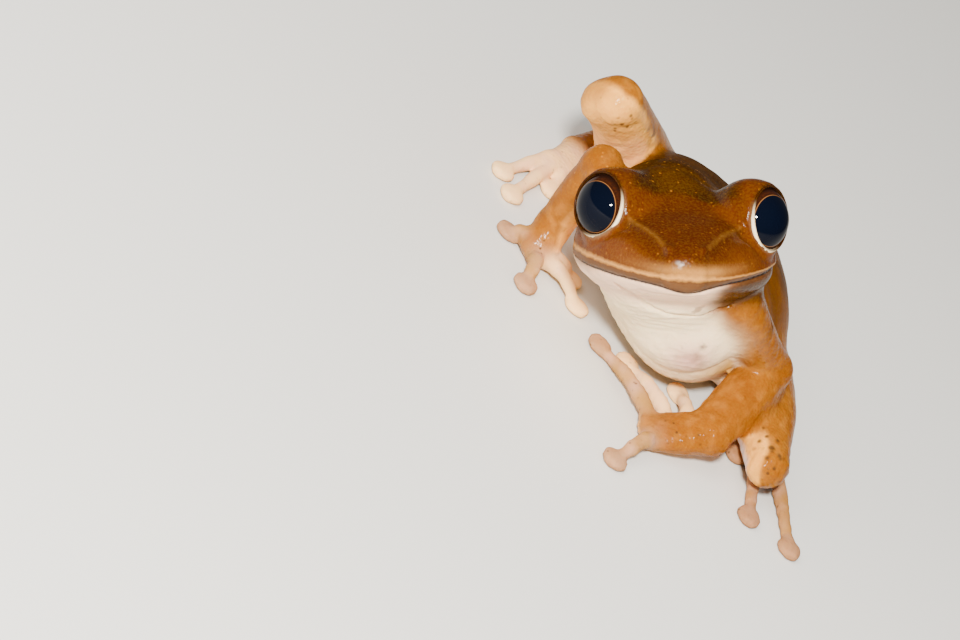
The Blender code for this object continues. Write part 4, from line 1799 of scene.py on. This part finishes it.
@dataclass(frozen=True)
class WetEye:
    """A living eye: a clear wet cornea over a wide blue-black pupil and a copper iris.

    The attribute "turn" is the angle from the pupil's axis in degrees, and "fibres" the place
    on which the iris's fibres are drawn. The wet coat mirrors the flash sharply.

    Attributes:
        bands: Angles from the axis, each with its colour, run into one another.
        iris: The angles between which the iris's fibres come up.
        fibre: Width of the fibres, millimetres.
        fleck: Width of the dark flecks across them, millimetres.
        dark: The colour of both.
    """

    name: str = "wet_eye"
    bands: Sequence[tuple[float, str]] = (
        (0.0, "#030612"), (41.6, "#040712"),  # the pupil
        (42.3, "#8A5C30"),  # the thin pale line round it
        (43.2, "#2A1206"), (47.5, "#321608"), (53.5, "#1E0C04"),  # the iris
        (58.0, "#140A08"),  # the dark ring that ends it
        (63.0, "#2A1408"))  # the ball under the lids
    iris: Row = (42.9, 45.0)
    fibre: float = 0.16
    fleck: float = 0.22
    dark: str = "#1C0D08"

    def make(self) -> Material:
        """Return the material: bands of colour by angle, fibres round the iris, sharp gloss.

        Returns:
            The material. It reads the eyeball's point attributes.
        """
        material, tree, shader = new_material(self.name)
        turn = add(tree, "Attribute", {"attribute_name": "turn"}).outputs["Fac"]
        fibres = add(tree, "Attribute", {"attribute_name": "fibres"}).outputs["Color"]
        place = add(tree, "TexCoord").outputs["Object"]
        fine = add(tree, "TexNoise", {
            "Scale": per_metre(self.fibre), "Detail": 4.0, "Vector": fibres})
        flecks = add(tree, "TexNoise", {
            "Scale": per_metre(self.fleck), "Detail": 3.0, "Vector": place})
        share = add(tree, "MapRange", {"From Max": QUARTER_TURN, "Value": turn}).outputs[0]
        band = add(tree, "ValToRGB", {"Fac": share})
        elements = band.color_ramp.elements
        while len(elements) < len(self.bands):
            elements.new(0.5)
        for element, (angle, code) in zip(elements, self.bands):
            element.position = angle / QUARTER_TURN
            element.color = (*linear(code), 1.0)
        iris = add(tree, "MapRange", {
            "From Min": self.iris[0] / QUARTER_TURN, "From Max": self.iris[1] / QUARTER_TURN,
            "Value": share})
        both = add(tree, "Math", {
            "operation": "MULTIPLY", "#0": fine.outputs["Fac"], "#1": flecks.outputs["Fac"]})
        dark = add(tree, "MapRange", {
            "From Min": 0.17, "From Max": 0.33, "To Min": 0.85, "To Max": 0.0,
            "Value": both.outputs[0]})
        weight = add(tree, "Math", {
            "operation": "MULTIPLY", "#0": dark.outputs[0], "#1": iris.outputs[0]})
        colour = add(tree, "Mix", {
            "data_type": "RGBA", "#0": weight.outputs[0], "#6": band.outputs["Color"],
            "#7": (*linear(self.dark), 1.0)})
        tree.links.new(colour.outputs[2], shader.inputs["Base Color"])
        for name, value in (("Roughness", 0.4), ("Specular IOR Level", 0.0), ("Coat Weight", 0.42),
                            ("Coat Roughness", 0.012), ("Coat IOR", 1.28)):
            shader.inputs[name].default_value = value
        return material


@dataclass(frozen=True)
class StudioFloor:
    """A matt pale grey sweep of paper, which gives an even ground and a soft shadow.

    Attributes:
        colour: The paper's colour.
    """

    name: str = "studio_paper"
    colour: str = "#D9D9D6"

    def make(self) -> Material:
        """Return the material.

        Returns:
            The material, one flat matt colour.
        """
        material, _, shader = new_material(self.name)
        for name, value in (("Base Color", (*linear(self.colour), 1.0)), ("Roughness", 0.9),
                            ("Specular IOR Level", 0.2)):
            shader.inputs[name].default_value = value
        return material


# ---- the eyes ----
@dataclass
class Eye:
    """One eyeball: a ball with a slightly raised cornea, turned to the pupil's axis.

    Attributes:
        side: Which eye.
        face: The head's flesh, which gives the ball's size and place.
        head_frame: The head's axes.
        axis: The pupil's direction in the head's axes: forward, sideways, up.
        cornea: How far the cornea stands over the ball.
        dome: The angle from the axis over which that rise fades, degrees.
        rings: Rings of points from the pupil's middle to the back.
        spokes: Points to a ring.
    """

    side: Side
    face: Face
    head_frame: HeadFrame
    axis: Row
    cornea: float = 0.42
    dome: float = 34.0
    rings: int = 72
    spokes: int = 96

    def build(self) -> Piece:
        """Return the eyeball.

        A point lies at angle t from the axis and w round it, at the distance
        r = radius + cornea * exp(-(t / dome)^2) from the middle.

        The fibres' attribute is the point round a ring of 2.6 mm and 0.8 mm up for each radian
        of t, so that an even pattern there is drawn out along the iris's radii.

        Returns:
            The eyeball, with its angle and fibre attributes.
        """
        forward, across, up = self.axis
        axis = unit(np.array([forward, across * self.side.value, up]) @ self.head_frame.axes)
        first = unit(np.cross(axis, (0.0, 0.0, 1.0)))
        second = np.cross(axis, first)
        t = np.linspace(0.0, np.pi, self.rings + 1)[1:-1][:, None]
        w = (np.arange(self.spokes) * 2.0 * np.pi / self.spokes)[None, :]
        degrees = np.degrees(t)
        radius = self.face.eye_radius + self.cornea * bell(degrees, self.dome)
        ball = (axis * np.cos(t)[..., None] + first * (np.sin(t) * np.cos(w))[..., None]
                + second * (np.sin(t) * np.sin(w))[..., None]) * radius[..., None]
        centre = self.head_frame.outward(self.face.eye_centre(self.side))
        poles = [axis * (self.face.eye_radius + self.cornea), -axis * self.face.eye_radius]
        points = np.vstack([ball.reshape(-1, 3), poles]) + centre
        i = np.arange(self.rings - 2)[:, None] * self.spokes
        j = np.arange(self.spokes)[None, :]
        k = (j + 1) % self.spokes
        faces = np.stack([i + j, i + self.spokes + j, i + self.spokes + k, i + k], -1)
        last = (self.rings - 2) * self.spokes
        tips = len(points) - 2
        caps = np.vstack([np.stack([np.full(self.spokes, tips), j[0], k[0]], 1),
                          np.stack([np.full(self.spokes, tips + 1), last + k[0], last + j[0]], 1)])
        turn = np.concatenate([np.repeat(degrees.ravel(), self.spokes), [0.0, 180.0]])
        ring = np.stack([np.cos(w), np.sin(w), np.zeros_like(w)], -1)
        fibres = np.tile(ring, (len(t), 1, 1)).reshape(-1, 3) * 2.6 * MM
        fibres[:, 2] = np.repeat(t.ravel(), self.spokes) * 0.8 * MM
        fibres = np.vstack([fibres, np.zeros((2, 3))])
        return Piece(f"eyeball_{self.side.word}", points, (faces.reshape(-1, 4), caps),
                     {"fibres": fibres}, {"turn": turn})


@dataclass
class LidMargin:
    """The moist edge of one eye's lids: a smooth cord of skin that hugs the eyeball.

    Attributes:
        side: Which eye's.
        face: The head's flesh, which gives the opening.
        head_frame: The head's axes.
        thin: The cord's radius where it is thinnest, above and behind.
        thick: How much thicker it is in front and below.
        sunk: How far its middle line lies under the lids' surface.
        spokes: Points along the opening.
        sides: Points round the cord.
    """

    side: Side
    face: Face
    head_frame: HeadFrame
    thin: float = 0.13
    thick: float = 0.11
    sunk: float = 0.10
    spokes: int = 160
    sides: int = 16

    def build(self) -> Piece:
        """Return the cord.

        Its middle line is the circle that the opening cuts from the ball the lids form. Its
        radius is thin + thick * s, where s rises from 0 behind and above to 1 in front and
        below, and its colour runs with s from dark brown to cream.

        Returns:
            The cord.
        """
        look, inner = self.face.eye_look(self.side), self.face.eye_tear(self.side)
        other = np.cross(look, inner)
        w = (np.arange(self.spokes) * 2.0 * np.pi / self.spokes)[:, None]
        v = (np.arange(self.sides) * 2.0 * np.pi / self.sides)[None, :]
        strong = step(np.cos(w), 0.2, 1.0)
        radius = self.thin + self.thick * strong
        ball = self.face.eye_radius + self.face.lid - self.sunk
        angle = math.asin(self.face.opening / ball)
        out = inner * np.cos(w) + other * np.sin(w)
        middle = (look * math.cos(angle) + out * math.sin(angle)) * ball
        radial = unit(middle)
        along = look * math.sin(angle) - out * math.cos(angle)
        ring = (middle[:, None, :] + radius[..., None] * (
            radial[:, None, :] * np.cos(v)[..., None] + along[:, None, :] * np.sin(v)[..., None]))
        points = ring.reshape(-1, 3) + self.face.eye_centre(self.side)
        i = np.arange(self.spokes)[:, None] * self.sides
        j = np.arange(self.sides)[None, :]
        n, k = (i + self.sides) % (self.spokes * self.sides), (j + 1) % self.sides
        order = (i + j, i + k, n + k, n + j)
        faces = np.stack(order if self.side is Side.RIGHT else order[::-1], -1).reshape(-1, 4)
        share = (strong * np.ones_like(v)).ravel()
        tone = mix(plain(Tone.CROWN, len(points)), Tone.LID_EDGE, share)
        # painted shade: the cord's side towards the eyeball is darkened, in the crease where the
        # two meet
        tone = mix(tone, Tone.CROWN, 0.7 * (step(np.sin(v), 0.55, 0.95) * np.ones_like(w)).ravel())
        none = {name: np.zeros(len(points)) for name in ("speckle", "over", "lip", "lips", "gold")}
        some = {name: np.full(len(points), 0.3) for name in ("mottle", "grain", "film")}
        return Piece(f"lid_margin_{self.side.word}", self.head_frame.outward(points), (faces,),
                     {"tone": tone}, {**none, **some})


# ---- the studio ----
def pose(right: Array, up: Array, back: Array, place: Row) -> Matrix:
    """Return the matrix whose columns are the directions +X, +Y and +Z, and the place."""
    return Matrix([*np.column_stack([right, up, back, place]).tolist(), [0.0, 0.0, 0.0, 1.0]])


@dataclass(frozen=True)
class Studio:
    """The floor, the soft lamps, the room's even light and the camera.

    Attributes:
        distance: From the camera to the point it aims at, metres.
        elevation: The camera's height angle, degrees.
        roll: Its turn about its own axis, degrees.
        aim: That point, metres.
        lens: The camera's focal length, millimetres.
        film_width: The width of its film, millimetres.
        floor_half: Half the floor's width, metres.
        lamps: Each lamp's name, place and width in metres, power in watts, and whether wet
            skin and eyes mirror it.
        lit: The point that the lamps face, metres.
        lamp_colour: The colour of their light.
        room: The colour of the room's even light.
        room_strength: How bright that light is.
    """

    distance: float = 0.394
    elevation: float = 29.0
    roll: float = 42.0
    aim: Row = (-0.01601, -0.01305, -0.00555)
    lens: float = 135.0
    film_width: float = 36.0
    floor_half: float = 3.0
    lamps: Sequence[tuple[str, Row, float, float, bool]] = (
        ("key", (-0.22, -0.32, 0.40), 0.42, 3.0, False),
        ("flash", (-0.03, -0.37, 0.26), 0.04, 6.0, True),
        ("fill", (0.46, -0.16, 0.34), 0.8, 1.4, False))
    lit: Row = (0.0, -0.012, 0.015)
    lamp_colour: str = "#FFF9F0"
    room: str = "#F3F9FF"
    room_strength: float = 0.18

    def lamp(self, name: str, place: Row, width: float, power: float, gloss: bool) -> Object:
        """Make a soft round lamp that faces the head.

        Args:
            name: The lamp's name.
            place: Where it stands, metres.
            width: How wide it is, metres.
            power: How bright it is, watts.
            gloss: Whether wet skin and eyes mirror it.

        Returns:
            The lamp.
        """
        data = bpy.data.lights.new(name, "AREA")
        data.shape, data.size, data.energy = "DISK", width, power
        data.color = linear(self.lamp_colour)
        made = bpy.data.objects.new(name, data)
        made.visible_glossy = gloss
        bpy.context.scene.collection.objects.link(made)
        back = unit(np.array(place) - np.array(self.lit))
        right = unit(np.cross((0.0, 0.0, 1.0), back))
        made.matrix_world = pose(right, np.cross(back, right), back, place)
        return made

    def camera(self) -> Object:
        """Make the camera: it looks along +Y from the front and above, rolled to its side.

        Returns:
            The camera, which is also set as the scene's.
        """
        rise, turn = math.radians(self.elevation), math.radians(self.roll)
        back = np.array([0.0, -math.cos(rise), math.sin(rise)])
        level, upright = np.array([1.0, 0.0, 0.0]), np.array([0.0, math.sin(rise), math.cos(rise)])
        right = math.cos(turn) * level + math.sin(turn) * upright
        up = math.cos(turn) * upright - math.sin(turn) * level
        data = bpy.data.cameras.new("camera")
        data.lens, data.sensor_width = self.lens, self.film_width
        data.clip_start, data.clip_end = 0.01, 50.0
        place = np.array(self.aim) + back * self.distance
        made = bpy.data.objects.new("camera", data)
        bpy.context.scene.collection.objects.link(made)
        made.matrix_world = pose(right, up, back, place)
        bpy.context.scene.camera = made
        return made

    def floor(self) -> Object:
        """Make the floor: one flat square of paper that the feet stand on.

        Returns:
            The floor.
        """
        half = self.floor_half
        mesh = bpy.data.meshes.new("floor")
        mesh.from_pydata([(x, y, 0.0) for y in (-half, half) for x in (-half, half)], [],
                         [(0, 1, 3, 2)])
        mesh.materials.append(StudioFloor().make())
        made = bpy.data.objects.new("floor", mesh)
        bpy.context.scene.collection.objects.link(made)
        return made

    def build(self) -> None:
        """Set up the camera, floor, lamps and the room's even light."""
        self.camera()
        self.floor()
        for lamp in self.lamps:
            self.lamp(*lamp)
        world = bpy.data.worlds.new("room")
        world.use_nodes = True
        background = world.node_tree.nodes["Background"]
        background.inputs["Color"].default_value = (*linear(self.room), 1.0)
        background.inputs["Strength"].default_value = self.room_strength
        bpy.context.scene.world = world


# ---- putting it together ----
def main() -> None:
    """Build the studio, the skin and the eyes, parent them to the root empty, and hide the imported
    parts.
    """
    logging.basicConfig(level=logging.INFO, format="%(message)s")
    Studio().build()
    flesh = Flesh()
    moist = MoistSkin().make()
    skin = Skin(flesh).build().write(moist)
    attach(skin, "root")
    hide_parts(*[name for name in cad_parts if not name.startswith("eye_")])
    finish = WetEye().make()
    # each eye's pupil looks its own way: forward, sideways and up in the head's axes
    for side, axis in ((Side.LEFT, (0.77, 0.63, 0.11)), (Side.RIGHT, (0.69, 0.72, 0.08))):
        margin = LidMargin(side, flesh.face, flesh.head_frame).build().write(moist)
        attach(margin, "root")
        eye = Eye(side, flesh.face, flesh.head_frame, axis).build().write(finish)
        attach(eye, "root")
        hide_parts(f"eye_{side.word}")
    bpy.context.view_layer.update()


if __name__ == "__main__":
    main()
